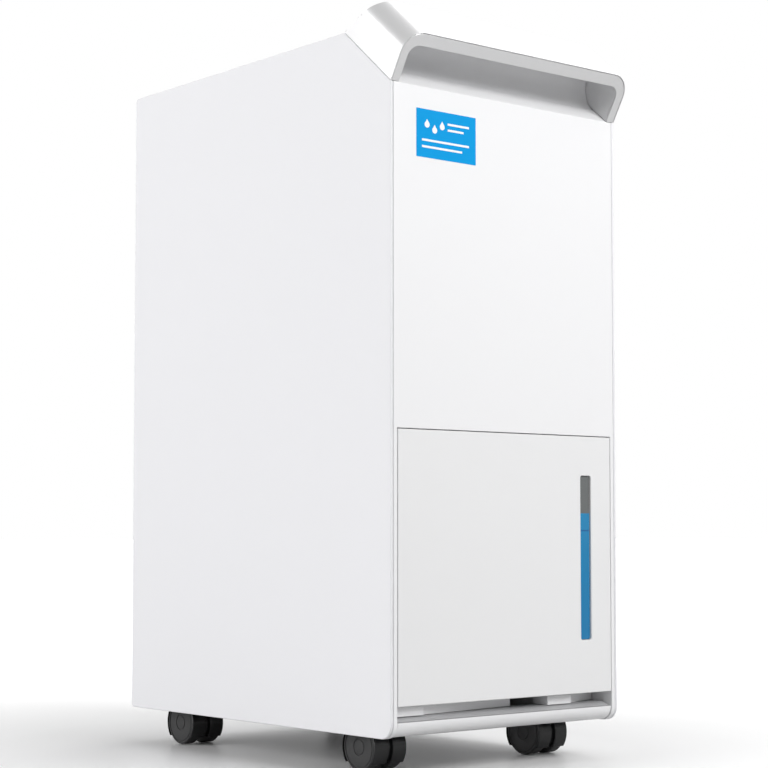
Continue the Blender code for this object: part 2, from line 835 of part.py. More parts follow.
def float_piece():
    """The foam float on its arm, which swings up on a pin at the back of the tub."""
    half, near, far = 0.0085, 0.045, 0.108
    body = block(
        "bucket_float",
        (FLOAT_X - 0.024, back(near), FLOAT_PIVOT_Z - 0.042),
        (FLOAT_X + 0.024, back(far), FLOAT_PIVOT_Z - 0.018),
        foam(),
    )
    arm = prism(
        "float_arm",
        (
            (far - 0.012, FLOAT_PIVOT_Z - 0.022),
            (FLOAT_PIVOT_DEPTH - 0.002, FLOAT_PIVOT_Z - 0.003),
            (FLOAT_PIVOT_DEPTH + 0.001, FLOAT_PIVOT_Z + 0.0022),
            (FLOAT_PIVOT_DEPTH - 0.004, FLOAT_PIVOT_Z + 0.0022),
            (far - 0.020, FLOAT_PIVOT_Z - 0.016),
        ),
        2 * half,
        side_plane(FLOAT_X),
    )
    left, right = FLOAT_LUGS[0] - 0.003, FLOAT_LUGS[1] + 0.003
    pin_ends = [(x, back(FLOAT_PIVOT_DEPTH), FLOAT_PIVOT_Z) for x in (left, right)]
    return join(body, arm, rod("float_pin", *pin_ends, 0.002, sides=16))


def bay_liner():
    """The bay for the bucket: floor, back, ceiling and sides in one moulding, open to the front."""
    x, wall, start = BAY_HALF_WIDTH, 0.0018, 0.0245
    liner = block(
        "bay_liner",
        (-x - wall, back(start), WELL_TOP + GAP),
        (x + wall, back(BAY_BACK + wall), BAY_CEILING + wall),
        inner_grey(),
    )
    hollow = block(
        "bay_inside",
        (-x, back(start - 0.01), WELL_TOP + GAP + wall),
        (x, back(BAY_BACK), BAY_CEILING),
    )
    finger_gap = block(
        "finger_gap",
        (-x - 0.01, back(start - 0.01), WELL_TOP - 0.01),
        (x + 0.01, back(0.036), WELL_TOP + 0.004),
    )
    return cut(liner, hollow, finger_gap, spout_hole("spout_hole"))


def spout_hole(name):
    """A cutter for the hole that the drip tray's spout hangs through."""
    return rod(name, (0, back(SPOUT_DEPTH), 0.25), (0, back(SPOUT_DEPTH), 0.28), 0.009, sides=16)


# ---- The refrigerant circuit and the fan ---------------------------------------------------------
def mid_deck():
    """The shelf over the bay and the compressor, which carries the coils and the fan."""
    deck = block(
        "mid_deck",
        (-INSIDE + 0.0005, back(0.026), DECK_BOTTOM),
        (INSIDE - 0.0005, back(DEPTH - 0.0146), DECK_TOP),
        inner_grey(),
    )
    pipe_gap = block("pipe_gap", (-INSIDE + 0.004, back(0.236), 0.26), (-0.0930, back(0.318), 0.28))
    return cut(deck, spout_hole("deck_spout_hole"), pipe_gap)


def drip_tray():
    """The tray under the cold coil, with a channel forward to the spout over the bucket."""
    low, high, wall = DECK_TOP + GAP, 0.288, 0.002
    near, far, x = 0.262, 0.3255, 0.0915
    channel = 0.0115
    start, spout_y = back(SPOUT_DEPTH - channel), back(SPOUT_DEPTH)
    tray = block("drip_tray", (-x, back(near), low), (x, back(far), high), inner_grey())
    join(
        tray,
        block("channel", (-channel, start, low), (channel, back(near + 0.005), low + 0.014)),
        rod("spout", (0, spout_y, 0.2265), (0, spout_y, low + 0.004), 0.0065, sides=16),
    )
    x, low, channel = x - wall, low + wall, channel - wall
    return cut(
        tray,
        block("tray_inside", (-x, back(near + wall), low), (x, back(far - wall), high + 0.01)),
        block("channel_inside", (-channel, start + wall, low), (channel, back(near + 0.01), low + 0.03)),
        rod("spout_bore", (0, spout_y, 0.22), (0, spout_y, low + 0.008), 0.0045, sides=16),
    )


def coil(name, depths, rows):
    """A finned coil: the fin pack with a row of hairpin bends standing out of its right side."""
    near, far = depths
    pack = block(
        name,
        (-COIL_HALF_WIDTH, back(near), COIL_BOTTOM),
        (COIL_HALF_WIDTH, back(far), COIL_TOP),
        fin_aluminium(),
    )
    pitch = (COIL_TOP - COIL_BOTTOM) / rows
    middle = back((near + far) / 2)
    for row in range(rows):
        z = COIL_BOTTOM + pitch * (row + 0.5)
        reach = COIL_HALF_WIDTH + 0.012
        corners = [
            (COIL_HALF_WIDTH - 0.002, middle, z - pitch / 4),
            (reach, middle, z - pitch / 4),
            (reach, middle, z + pitch / 4),
            (COIL_HALF_WIDTH - 0.002, middle, z + pitch / 4),
        ]
        join(pack, pipe(f"{name}_bend_{row}", bend(corners, 0.005, steps=2), 0.0035, resolution=1))
    return pack


def compressor():
    """The sealed rotary compressor: a domed can on a four-footed plate."""
    x, depth, radius = COMPRESSOR_X, COMPRESSOR_DEPTH, COMPRESSOR_RADIUS
    low, high, dome, steps = 0.060, 0.222, 0.022, 5
    arc = [math.radians(90 * i / steps) for i in range(steps + 1)]
    profile = [(radius * math.sin(a), high - dome + dome * math.cos(a)) for a in arc]
    profile += [(radius * math.cos(a), low + dome - dome * math.sin(a)) for a in arc]
    can = lathe("compressor", profile, (x, back(depth), 0), black_steel())
    foot = block(
        "compressor_foot",
        (-0.046, back(depth - 0.062), 0.0520),
        (0.046, back(depth + 0.062), 0.0555),
    )
    neck = rod("compressor_neck", (x, back(depth), 0.0530), (x, back(depth), 0.072), 0.030)
    return join(can, neck, foot)


def accumulator():
    """The suction accumulator beside the compressor."""
    low, high, radius = 0.090, 0.190, 0.017
    profile = [(0, high), (radius * 0.7, high - 0.004), (radius, high - 0.012)]
    profile += [(radius, low + 0.012), (radius * 0.7, low + 0.004), (0, low)]
    return lathe("accumulator", profile, (ACCUMULATOR_X, back(ACCUMULATOR_DEPTH), 0), black_steel(), 24)


def pipes():
    """The copper pipes: hot gas to the condenser, cold gas back, and the capillary between the coils."""
    hot_x, hot_depth = -0.100, (CONDENSER_DEPTH[0] + CONDENSER_DEPTH[1]) / 2
    cold_x, cold_depth = -0.106, (EVAPORATOR_DEPTH[0] + EVAPORATOR_DEPTH[1]) / 2
    header = -COIL_HALF_WIDTH - 0.0005
    discharge = [
        (COMPRESSOR_X, back(COMPRESSOR_DEPTH), 0.2225),
        (COMPRESSOR_X, back(COMPRESSOR_DEPTH), 0.246),
        (hot_x, back(COMPRESSOR_DEPTH), 0.246),
        (hot_x, back(hot_depth), 0.246),
        (hot_x, back(hot_depth), 0.505),
        (header, back(hot_depth), 0.505),
    ]
    pipe("discharge_pipe", bend(discharge, 0.010, 3), 0.003, copper())
    suction = [
        (ACCUMULATOR_X, back(ACCUMULATOR_DEPTH), 0.1905),
        (ACCUMULATOR_X, back(ACCUMULATOR_DEPTH), 0.215),
        (cold_x + 0.004, back(ACCUMULATOR_DEPTH), 0.215),
        (cold_x + 0.004, back(cold_depth), 0.215),
        (cold_x + 0.004, back(cold_depth), 0.330),
        (header, back(cold_depth), 0.330),
    ]
    pipe("suction_pipe", bend(suction, 0.008, 3), 0.0035, copper())
    capillary = [
        (header, back(hot_depth), 0.350),
        (-0.095, back(hot_depth), 0.350),
        (-0.095, back(cold_depth), 0.420),
        (header, back(cold_depth), 0.420),
    ]
    pipe("capillary_tube", bend(capillary, 0.004, 3), 0.0012, copper())


def spiral(wall, top):
    """The scroll's outline in (x, height): a spiral that opens into a discharge duct going up."""
    start, end, small, large, steps = 60, 360, 0.064, 0.090, 30
    points = []
    for i in range(steps + 1):
        angle = math.radians(start + (end - start) * i / steps)
        radius = small + (large - small) * i / steps - wall
        points.append((FAN_X + radius * math.cos(angle), FAN_Z + radius * math.sin(angle)))
    mouth = FAN_X + small * math.cos(math.radians(start)) + wall
    tongue = FAN_Z + small * math.sin(math.radians(start)) - wall / 2
    points += [(FAN_X + large - wall, top), (mouth, top)]
    if wall:
        points.append((mouth, tongue))
    return points


def fan_scroll():
    """The fan's scroll housing: air in at the back through a round eye, out at the top."""
    place, deep = face_plane((SCROLL_FRONT + SCROLL_BACK) / 2), SCROLL_BACK - SCROLL_FRONT
    top = FAN_Z + DISCHARGE_HEIGHT
    scroll = prism("fan_scroll", spiral(0, top), deep, place, inner_grey())
    inside = prism("scroll_inside", spiral(SCROLL_WALL, top + 0.01), deep - 2 * SCROLL_WALL, place)
    eye = rod("scroll_eye", *along_depth(FAN_X, FAN_Z, SCROLL_BACK - 0.01, SCROLL_BACK + 0.01), 0.050)
    motor_hole = rod(
        "motor_hole", *along_depth(FAN_X, FAN_Z, SCROLL_FRONT - 0.01, SCROLL_FRONT + 0.01), 0.012, sides=24
    )
    foot = block(
        "scroll_foot",
        (FAN_X - 0.03, back(SCROLL_FRONT + 0.0005), DECK_TOP + GAP),
        (FAN_X + 0.03, back(SCROLL_FRONT + 0.004), FAN_Z - 0.080),
    )
    channel_gap = block(
        "over_the_channel",
        (-0.014, back(SCROLL_FRONT - 0.01), DECK_TOP - 0.01),
        (0.014, back(SCROLL_FRONT + 0.02), DECK_TOP + 0.018),
    )
    join(scroll, foot)
    return cut(scroll, inside, eye, motor_hole, channel_gap)


def fan_wheel():
    """The squirrel-cage wheel: a back plate, a ring of blades and a front ring, cut from one drum."""
    near, far = SCROLL_FRONT + 0.005, SCROLL_BACK - 0.006
    wheel = rod("fan_wheel", *along_depth(FAN_X, FAN_Z, near, far), FAN_RADIUS, inner_grey(), sides=40)
    hollow = rod("drum_inside", *along_depth(FAN_X, FAN_Z, near + 0.002, far + 0.01), 0.047, sides=40)
    hub = rod("fan_hub", *along_depth(FAN_X, FAN_Z, near + 0.001, near + 0.020), 0.010)
    bore = rod("hub_bore", *along_depth(FAN_X, FAN_Z, near - 0.01, near + 0.03), 0.0043, sides=20)
    blades = 20
    start, end = back(near + 0.004), back(far - 0.004)

    def draw_gaps(drawn):
        for i in range(blades):
            turn = Matrix.Rotation(2 * math.pi * i / blades, 4, "Y")
            size = Matrix.Diagonal((0.020, end - start, 0.0088, 1))
            offset = Matrix.Translation((0.0535, 0, 0))
            place = Matrix.Translation((FAN_X, (start + end) / 2, FAN_Z)) @ turn @ offset @ size
            bmesh.ops.create_cube(drawn, size=1, matrix=place)

    cut(wheel, hollow, shape("blade_gaps", mesh_of("blade_gaps", draw_gaps)))
    return cut(join(wheel, hub), bore)


def fan_motor():
    """The fan's motor, with its mounting flange against the scroll, and the shaft through both."""
    near, far = 0.146, SCROLL_FRONT - GAP
    motor = rod("fan_motor", *along_depth(FAN_X, FAN_Z, near, far - 0.004), 0.036, black_steel(), sides=36)
    flange = rod("motor_flange", *along_depth(FAN_X, FAN_Z, far - 0.006, far), 0.046, sides=36)
    bore = rod("motor_bore", *along_depth(FAN_X, FAN_Z, near + 0.006, far + 0.01), 0.0043, sides=20)
    cut(join(motor, flange), bore)
    shaft = along_depth(FAN_X, FAN_Z, near + 0.0065, SCROLL_FRONT + 0.028)
    rod("fan_shaft", *shaft, 0.004, steel(), sides=20)


# ---- The controls and the small fittings ---------------------------------------------------------
def button_places():
    """(name, x) of each button: two left of the display and three right of it."""
    return (
        ("power_button", -BUTTON_OUTERMOST),
        ("mode_button", -BUTTON_OUTERMOST + BUTTON_PITCH),
        ("down_button", BUTTON_OUTERMOST - 2 * BUTTON_PITCH),
        ("up_button", BUTTON_OUTERMOST - BUTTON_PITCH),
        ("timer_button", BUTTON_OUTERMOST),
    )


def push_button(name, x, y):
    """A round button with a flange under the panel, which keeps it from coming out."""
    under = BODY_TOP - 0.0062
    button = rod(name, (x, y, under), (x, y, BODY_TOP + 0.0004), BUTTON_RADIUS, side_white(), sides=28)
    flange = rod(f"{name}_flange", (x, y, under), (x, y, under + 0.002), BUTTON_RADIUS + 0.0012, sides=28)
    return join(button, flange)


def controls():
    """The control panel with its display lens and buttons, and the board under them."""
    near, far = CONTROL_DEPTH
    low, high = BODY_TOP - 0.0036, BODY_TOP - 0.0004
    panel = block(
        "control_panel",
        (-CONTROL_HALF_WIDTH + GAP, back(near + GAP), low),
        (CONTROL_HALF_WIDTH - GAP, back(far - GAP), high),
        panel_black(),
    )
    left, right = DISPLAY_X - DISPLAY_HALF_WIDTH, DISPLAY_X + DISPLAY_HALF_WIDTH
    start, end = back(near + DISPLAY_MARGIN), back(far - DISPLAY_MARGIN)
    cut(panel, block("display_opening", (left, start, low - 0.01), (right, end, high + 0.01)))
    corners = (left + GAP, start + GAP, low), (right - GAP, end - GAP, high - 0.0002)
    block("display_lens", *corners, clear_blue())
    middle = (start + end) / 2
    for name, x in button_places():
        hole = rod(f"{name}_hole", (x, middle, 0.5), (x, middle, 0.6), BUTTON_RADIUS + 0.0004, sides=28)
        cut(panel, hole)
        push_button(name, x, middle)
    margin, top = 0.004, BODY_TOP - 0.0084
    board = block(
        "control_board",
        (-CONTROL_HALF_WIDTH + margin, back(near + margin), top - 0.0016),
        (CONTROL_HALF_WIDTH - margin, back(far - margin), top),
        board_green(),
    )
    over = top - 0.001
    relay = block("relay", (0.045, back(near + 0.010), top - 0.016), (0.064, back(near + 0.026), over))
    can = block("transformer", (-0.064, back(near + 0.020), top - 0.022), (-0.034, back(near + 0.045), over))
    return join(board, relay, can)


def filter_pieces():
    """The inlet grille, which pulls out of the back with the filter net behind it."""
    half = FILTER_HALF_WIDTH - GAP
    low, high, rim = FILTER_BOTTOM + GAP, FILTER_TOP - GAP, 0.008
    front, face = back(DEPTH - 0.0055), back(DEPTH - 0.0002)
    grille = block("filter_frame", (-half, front, low), (half, face, high), white_front())
    openings = [
        ((left, back(DEPTH - 0.02), start), (right, back(DEPTH + 0.01), end))
        for left, right, start, end in slots(14, 2, low + rim, high - 0.026, half - rim, 0.004, 0.60)
    ]
    grip = block("pull_tab", (-0.022, face - 0.0025, high - 0.020), (0.022, face + 0.01, high - 0.008))
    cut(grille, blocks("inlet_slots", openings), grip)
    block(
        "filter_net",
        (-half + 0.002, back(DEPTH - 0.0085), low + 0.002),
        (half - 0.002, back(DEPTH - 0.0058), high - 0.002),
        net(),
    )


def electrical_fittings():
    """The fan's run capacitor and the switch that the float works."""
    x, y = 0.060, back(0.085)
    rod("run_capacitor", (x, y, DECK_TOP + GAP), (x, y, DECK_TOP + 0.075), 0.019, fin_aluminium())
    block(
        "float_switch",
        (FLOAT_X - 0.012, back(BAY_BACK + 0.0021), 0.165),
        (FLOAT_X + 0.012, back(BAY_BACK + 0.011), 0.187),
        caster_black(),
    )


def cord_gland():
    """The bush that the mains lead comes out of, flanged inside the rear cover."""
    flush, inside = DEPTH - GAP, DEPTH - PANEL - GAP
    gland = rod("cord_gland", *along_depth(*GLAND_PLACE, DEPTH - 0.008, flush), 0.0082, caster_black())
    flange = rod("gland_flange", *along_depth(*GLAND_PLACE, DEPTH - 0.008, inside), 0.011)
    bore = rod("gland_bore", *along_depth(*GLAND_PLACE, DEPTH - 0.03, DEPTH + 0.01), 0.0038, sides=16)
    return cut(join(gland, flange), bore)


def drain_outlet():
    """The spigot for continuous drainage and the push-in plug that closes it."""
    flush, inside = DEPTH - GAP, DEPTH - PANEL - GAP
    x, z = DRAIN_PLACE
    spigot = rod("drain_spigot", *along_depth(x, z, DEPTH - 0.032, flush), 0.0115, side_white())
    flange = rod("spigot_flange", *along_depth(x, z, DEPTH - 0.0065, inside), 0.0150)
    cut(join(spigot, flange), rod("spigot_bore", *along_depth(x, z, DEPTH - 0.04, DEPTH + 0.01), 0.0085))
    plug = rod("drain_plug", *along_depth(x, z, DEPTH - 0.018, DEPTH - 0.0006), 0.0081, caster_black())
    near, far = back(DEPTH - 0.004), back(DEPTH + 0.01)
    sides = [
        ((x - 0.012, near, z + 0.0016), (x + 0.012, far, z + 0.0062)),
        ((x - 0.012, near, z - 0.0062), (x + 0.012, far, z - 0.0016)),
    ]
    return cut(plug, blocks("plug_grip", sides))


def shade_round_pieces():
    """Smooth shading on every part, kept sharp at edges over 35 degrees."""
    for obj in bpy.data.collections[PARTS].objects:
        if obj.type == "MESH":
            obj.data.shade_smooth()
            obj.data.set_sharp_from_angle(angle=math.radians(35))


def main():
    """Builds the whole object."""
    clear_scene()
    side_panel("left_panel", -1)
    side_panel("right_panel", 1)
    front_frame()
    handle_hood()
    handle_pocket()
    top_cover()
    outlet_grille()
    rear_cover()
    base_pan()
    for place in caster_places():
        caster(*place)
    bucket_front()
    level_window()
    bucket_tub()
    bucket_lid()
    bucket_handle()
    float_piece()
    bay_liner()
    mid_deck()
    drip_tray()
    coil("evaporator_coil", EVAPORATOR_DEPTH, 5)
    coil("condenser_coil", CONDENSER_DEPTH, 5)
    compressor()
    accumulator()
    pipes()
    fan_scroll()
    fan_wheel()
    fan_motor()
    controls()
    filter_pieces()
    electrical_fittings()
    cord_gland()
    drain_outlet()
    shade_round_pieces()


if __name__ == "__main__":
    main()
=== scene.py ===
"""The looks of a tall, narrow white dehumidifier: a hooded front, a bucket and four casters.

Every sub-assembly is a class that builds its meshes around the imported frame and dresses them. Lengths are
in metres, +Z is up and the front faces -Y. "Depth" is the distance behind the front face.
"""

from __future__ import annotations

import logging
import math
from collections.abc import Callable, Iterable, Sequence
from dataclasses import dataclass
from enum import Enum

import bmesh
import bpy
from mathutils import Matrix, Vector


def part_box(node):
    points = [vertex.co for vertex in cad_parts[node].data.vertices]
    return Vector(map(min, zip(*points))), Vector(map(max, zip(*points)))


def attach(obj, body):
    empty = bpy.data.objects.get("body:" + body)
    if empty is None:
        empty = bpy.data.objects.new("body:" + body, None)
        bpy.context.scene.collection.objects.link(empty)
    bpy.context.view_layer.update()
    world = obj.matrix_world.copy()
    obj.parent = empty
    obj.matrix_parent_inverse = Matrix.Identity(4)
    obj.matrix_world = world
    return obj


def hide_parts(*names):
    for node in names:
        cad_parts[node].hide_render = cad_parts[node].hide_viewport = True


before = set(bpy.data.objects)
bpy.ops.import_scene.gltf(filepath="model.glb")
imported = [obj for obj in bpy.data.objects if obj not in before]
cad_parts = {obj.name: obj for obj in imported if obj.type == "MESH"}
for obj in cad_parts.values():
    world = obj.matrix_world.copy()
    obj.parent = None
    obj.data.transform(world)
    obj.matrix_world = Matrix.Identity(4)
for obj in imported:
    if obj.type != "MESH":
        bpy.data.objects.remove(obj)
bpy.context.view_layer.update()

log = logging.getLogger("dehumidifier")

Point = Sequence[float]
Colour = tuple[float, float, float]
SMOOTH_ANGLE = math.radians(35)
ROUND_SEGMENTS = 64
DUST_COLOUR = (0.45, 0.44, 0.42)
WORN_METAL = (0.75, 0.75, 0.76)
FIT = 0.0003
TOP_COVER_GAP = 0.001


# ---- Places read from the frame ------------------------------------------------------------------


@dataclass(frozen=True)
class Measures:
    """The places that the sub-assemblies share, in metres."""

    half_width: float
    inside: float
    front: float
    back: float
    bottom: float
    top: float
    seam: float
    face_bottom: float
    chamfer_run: float
    chamfer_foot: float

    @classmethod
    def read(cls) -> Measures:
        """Reads the places from the frame's nodes.

        Returns:
            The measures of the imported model.
        """
        panel_low, panel_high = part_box("left_panel")
        face_low, face_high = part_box("bucket_front")
        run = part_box("top_cover")[0].y - TOP_COVER_GAP - face_low.y
        hood_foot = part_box("handle_hood")[0].z
        slope = math.atan2(panel_high.z - hood_foot, run)
        return cls(
            half_width=-panel_low.x,
            inside=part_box("front_frame")[1].x,
            front=face_low.y,
            back=panel_high.y,
            bottom=panel_low.z,
            top=panel_high.z,
            seam=face_high.z,
            face_bottom=face_low.z,
            chamfer_run=run,
            chamfer_foot=hood_foot - FIT * math.cos(slope),
        )

    @property
    def chamfer_angle(self) -> float:
        """How steeply the chamfer of the top front edge rises, in radians."""
        return math.atan2(self.top - self.chamfer_foot, self.chamfer_run)

    @property
    def chamfer_length(self) -> float:
        """The length of the chamfer from its foot to the top."""
        return math.hypot(self.top - self.chamfer_foot, self.chamfer_run)

    def at(self, depth: float) -> float:
        """The y of a point this far behind the front face."""
        return self.front + depth

    def chamfer_axes(self) -> Matrix:
        """Axes on the chamfer's foot: x across, y square to the chamfer, z down along it."""
        c, s = math.cos(self.chamfer_angle), math.sin(self.chamfer_angle)
        return Matrix(((1, 0, 0, 0), (0, -s, -c, self.front), (0, c, -s, self.chamfer_foot), (0, 0, 0, 1)))


class Side(Enum):
    """The left and the right of the machine, as seen from its front."""

    LEFT = -1
    RIGHT = 1


# ---- Node trees ----------------------------------------------------------------------------------


class NodeTree:
    """A node tree, with a short way to add a node that is already wired."""

    def __init__(self, tree: bpy.types.NodeTree) -> None:
        """Takes over a tree."""
        self.tree = tree

    def node(
        self, kind: str, inputs: dict[str | int, object] | None = None, **settings: object
    ) -> bpy.types.Node:
        """Adds a node.

        Args:
            kind: The node's type.
            inputs: The socket that feeds an input, or its value, by the input's name or number.
            settings: Properties to set on the node.

        Returns:
            The new node.
        """
        made = self.tree.nodes.new(kind)
        for name, value in settings.items():
            setattr(made, name, value)
        self.wire(made, inputs or {})
        return made

    def wire(self, node: bpy.types.Node, inputs: dict[str | int, object]) -> None:
        """Feeds a node's inputs.

        Args:
            node: The node.
            inputs: The socket that feeds an input, or its value, by the input's name or number.
        """
        for key, value in inputs.items():
            if isinstance(value, bpy.types.NodeSocket):
                self.tree.links.new(value, node.inputs[key])
            else:
                node.inputs[key].default_value = value


class NodeGroup(NodeTree):
    """A shader node group with named inputs and outputs, built once and used in many materials."""

    def __init__(self, name: str, inputs: dict[str, float | Colour], outputs: dict[str, str]) -> None:
        """Makes the group's sockets.

        Args:
            name: The group's name.
            inputs: Each input's name and default: a number, or a colour.
            outputs: Each output's name and socket type.
        """
        super().__init__(bpy.data.node_groups.new(name, "ShaderNodeTree"))
        for label, default in inputs.items():
            kind = "NodeSocketFloat" if isinstance(default, float) else "NodeSocketColor"
            socket = self.tree.interface.new_socket(label, in_out="INPUT", socket_type=kind)
            socket.default_value = default if isinstance(default, float) else (*default, 1.0)
        for label, kind in outputs.items():
            self.tree.interface.new_socket(label, in_out="OUTPUT", socket_type=kind)
        self.given = self.node("NodeGroupInput").outputs
        self.end = self.node("NodeGroupOutput")
        self.place = self.node("ShaderNodeTexCoord").outputs["Object"]

    def noise(self, **inputs: object) -> bpy.types.NodeSocket:
        """The value of a noise in the object's own coordinates."""
        return self.node("ShaderNodeTexNoise", {"Vector": self.place, **inputs}).outputs["Fac"]

    def times(self, first: bpy.types.NodeSocket, second: bpy.types.NodeSocket) -> bpy.types.NodeSocket:
        """The product of two values."""
        return self.node("ShaderNodeMath", {0: first, 1: second}, operation="MULTIPLY").outputs[0]


def moulded_grain() -> NodeGroup:
    """The fine, even texture of a moulded surface.

    Returns:
        A group that turns a scale into a roughness and a height.
    """
    group = NodeGroup(
        "moulded grain",
        {"Scale": 900.0, "Roughness": 0.4, "Spread": 0.05},
        {"Roughness": "NodeSocketFloat", "Height": "NodeSocketFloat"},
    )
    given = group.given
    fine = group.noise(Scale=given["Scale"], Detail=3.0)
    broad = group.noise(Scale=9.0, Detail=4.0)
    centred = group.node("ShaderNodeMath", {0: broad, 1: 0.5}, operation="SUBTRACT")
    steps = {0: centred.outputs[0], 1: given["Spread"], 2: given["Roughness"]}
    spread = group.node("ShaderNodeMath", steps, operation="MULTIPLY_ADD")
    group.wire(group.end, {"Roughness": spread.outputs[0], "Height": fine})
    return group


def tint_drift() -> NodeGroup:
    """The slight unevenness of colour over a large moulding.

    Returns:
        A group that turns a colour into one that drifts towards a shade.
    """
    group = NodeGroup(
        "tint drift",
        {"Colour": (0.8, 0.8, 0.8), "Shade": (0.7, 0.7, 0.7), "Amount": 0.3, "Scale": 6.0},
        {"Colour": "NodeSocketColor"},
    )
    given = group.given
    amount = group.times(group.noise(Scale=given["Scale"], Detail=3.0), given["Amount"])
    mix = group.node("ShaderNodeMix", {0: amount, 6: given["Colour"], 7: given["Shade"]}, data_type="RGBA")
    group.wire(group.end, {"Colour": mix.outputs[2]})
    return group


def edge_wear() -> NodeGroup:
    """Rubbed outer edges, broken up by noise.

    Returns:
        A group that puts out a mask of the worn places.
    """
    group = NodeGroup("edge wear", {"Amount": 0.3, "Scale": 120.0}, {"Mask": "NodeSocketFloat"})
    bent = group.node("ShaderNodeNewGeometry").outputs["Pointiness"]
    edge = group.node("ShaderNodeMapRange", {"Value": bent, "From Min": 0.51, "From Max": 0.60})
    broken = group.times(edge.outputs["Result"], group.noise(Scale=group.given["Scale"]))
    group.wire(group.end, {"Mask": group.times(broken, group.given["Amount"])})
    return group


def settled_dust() -> NodeGroup:
    """Dust that lies on what faces up.

    Returns:
        A group that puts out a mask of the dusty places.
    """
    group = NodeGroup("settled dust", {"Amount": 0.3, "Scale": 60.0}, {"Mask": "NodeSocketFloat"})
    way = group.node("ShaderNodeNewGeometry").outputs["Normal"]
    height = group.node("ShaderNodeSeparateXYZ", {0: way}).outputs["Z"]
    upward = group.node("ShaderNodeMapRange", {"Value": height, "From Min": 0.2})
    speckle = group.times(upward.outputs["Result"], group.noise(Scale=group.given["Scale"], Detail=6.0))
    group.wire(group.end, {"Mask": group.times(speckle, group.given["Amount"])})
    return group


class Effects:
    """The node groups that the finishes share."""

    grain = moulded_grain()
    drift = tint_drift()
    wear = edge_wear()
    dust = settled_dust()


# ---- Finishes ------------------------------------------------------------------------------------


class MaterialNodes(NodeTree):
    """A new material with its Principled shader, and short ways to wire it."""

    def __init__(self, name: str) -> None:
        """Makes the material.

        Args:
            name: The material's name.
        """
        self.material = bpy.data.materials.new(name)
        self.material.use_nodes = True
        super().__init__(self.material.node_tree)
        self.shader = self.tree.nodes["Principled BSDF"]

    def group(self, group: NodeGroup, **values: float | Colour) -> bpy.types.NodeOutputs:
        """Places a shared group with this material's own values.

        Args:
            group: The shared group.
            values: Input names and their values.

        Returns:
            The outputs of the group's node.
        """
        inputs = {
            name: value if isinstance(value, float) else (*value, 1.0) for name, value in values.items()
        }
        return self.node("ShaderNodeGroup", inputs, node_tree=group.tree).outputs

    def set(self, **values: object) -> None:
        """Feeds the shader's own inputs, named with _ for a space."""
        self.wire(self.shader, {name.replace("_", " "): value for name, value in values.items()})

    def bump(self, height: bpy.types.NodeSocket, depth: float) -> None:
        """Raises the surface by a height from 0 to 1.

        Args:
            height: The socket with the height.
            depth: What a height of 1 stands for, in metres.
        """
        bump = self.node("ShaderNodeBump", {"Height": height, "Distance": depth})
        self.set(Normal=bump.outputs["Normal"])

    def mixed(
        self, mask: bpy.types.NodeSocket, base: bpy.types.NodeSocket, top: Colour
    ) -> bpy.types.NodeSocket:
        """Lays a colour over another where a mask says.

        Args:
            mask: The socket with the mask.
            base: The socket with the colour below, or that colour.
            top: The colour above.

        Returns:
            The socket with the mixed colour.
        """
        return self.node("ShaderNodeMix", {0: mask, 6: base, 7: (*top, 1.0)}, data_type="RGBA").outputs[2]


@dataclass(frozen=True)
class Plastic:
    """A moulded plastic, from gloss to matt."""

    name: str
    colour: Colour
    shade: Colour
    roughness: float
    grain_scale: float = 1400.0
    grain_depth: float = 0.000006
    drift: float = 0.25
    wear: float = 0.0
    worn: Colour = (0.9, 0.9, 0.9)
    dust: float = 0.0
    metallic: float = 0.0
    coat: float = 0.0
    specular: float = 0.5

    def build(self) -> bpy.types.Material:
        """Makes the material.

        Returns:
            The finished material.
        """
        nodes = MaterialNodes(self.name)
        colour = nodes.group(
            Effects.drift, Colour=self.colour, Shade=self.shade, Amount=self.drift
        )["Colour"]
        if self.wear:
            colour = nodes.mixed(nodes.group(Effects.wear, Amount=self.wear)["Mask"], colour, self.worn)
        if self.dust:
            colour = nodes.mixed(nodes.group(Effects.dust, Amount=self.dust)["Mask"], colour, DUST_COLOUR)
        grain = nodes.group(Effects.grain, Scale=self.grain_scale, Roughness=self.roughness)
        nodes.set(Base_Color=colour, Roughness=grain["Roughness"], Metallic=self.metallic)
        nodes.set(Coat_Weight=self.coat, Coat_Roughness=0.08, Specular_IOR_Level=self.specular)
        nodes.bump(grain["Height"], self.grain_depth)
        return nodes.material


@dataclass(frozen=True)
class Metal:
    """A bare or painted metal with a brushed or drawn grain along one axis."""

    name: str
    colour: Colour
    shade: Colour
    roughness: float
    stretch: Colour = (40.0, 40.0, 900.0)
    grain_depth: float = 0.00001
    metallic: float = 1.0
    wear: float = 0.3

    def build(self) -> bpy.types.Material:
        """Makes the material.

        Returns:
            The finished material.
        """
        nodes = MaterialNodes(self.name)
        place = nodes.node("ShaderNodeTexCoord").outputs["Object"]
        mapping = nodes.node("ShaderNodeMapping", {"Vector": place, "Scale": self.stretch})
        streaks = nodes.node(
            "ShaderNodeTexNoise", {"Vector": mapping.outputs[0], "Scale": 1.0, "Detail": 5.0}
        )
        drift = nodes.group(Effects.drift, Colour=self.colour, Shade=self.shade, Amount=0.6, Scale=25.0)
        grain = nodes.group(Effects.grain, Scale=700.0, Roughness=self.roughness, Spread=0.15)
        worn = nodes.group(Effects.wear, Amount=self.wear)["Mask"]
        nodes.set(Base_Color=nodes.mixed(worn, drift["Colour"], WORN_METAL))
        nodes.set(Roughness=grain["Roughness"], Metallic=self.metallic)
        nodes.bump(streaks.outputs["Fac"], self.grain_depth)
        return nodes.material


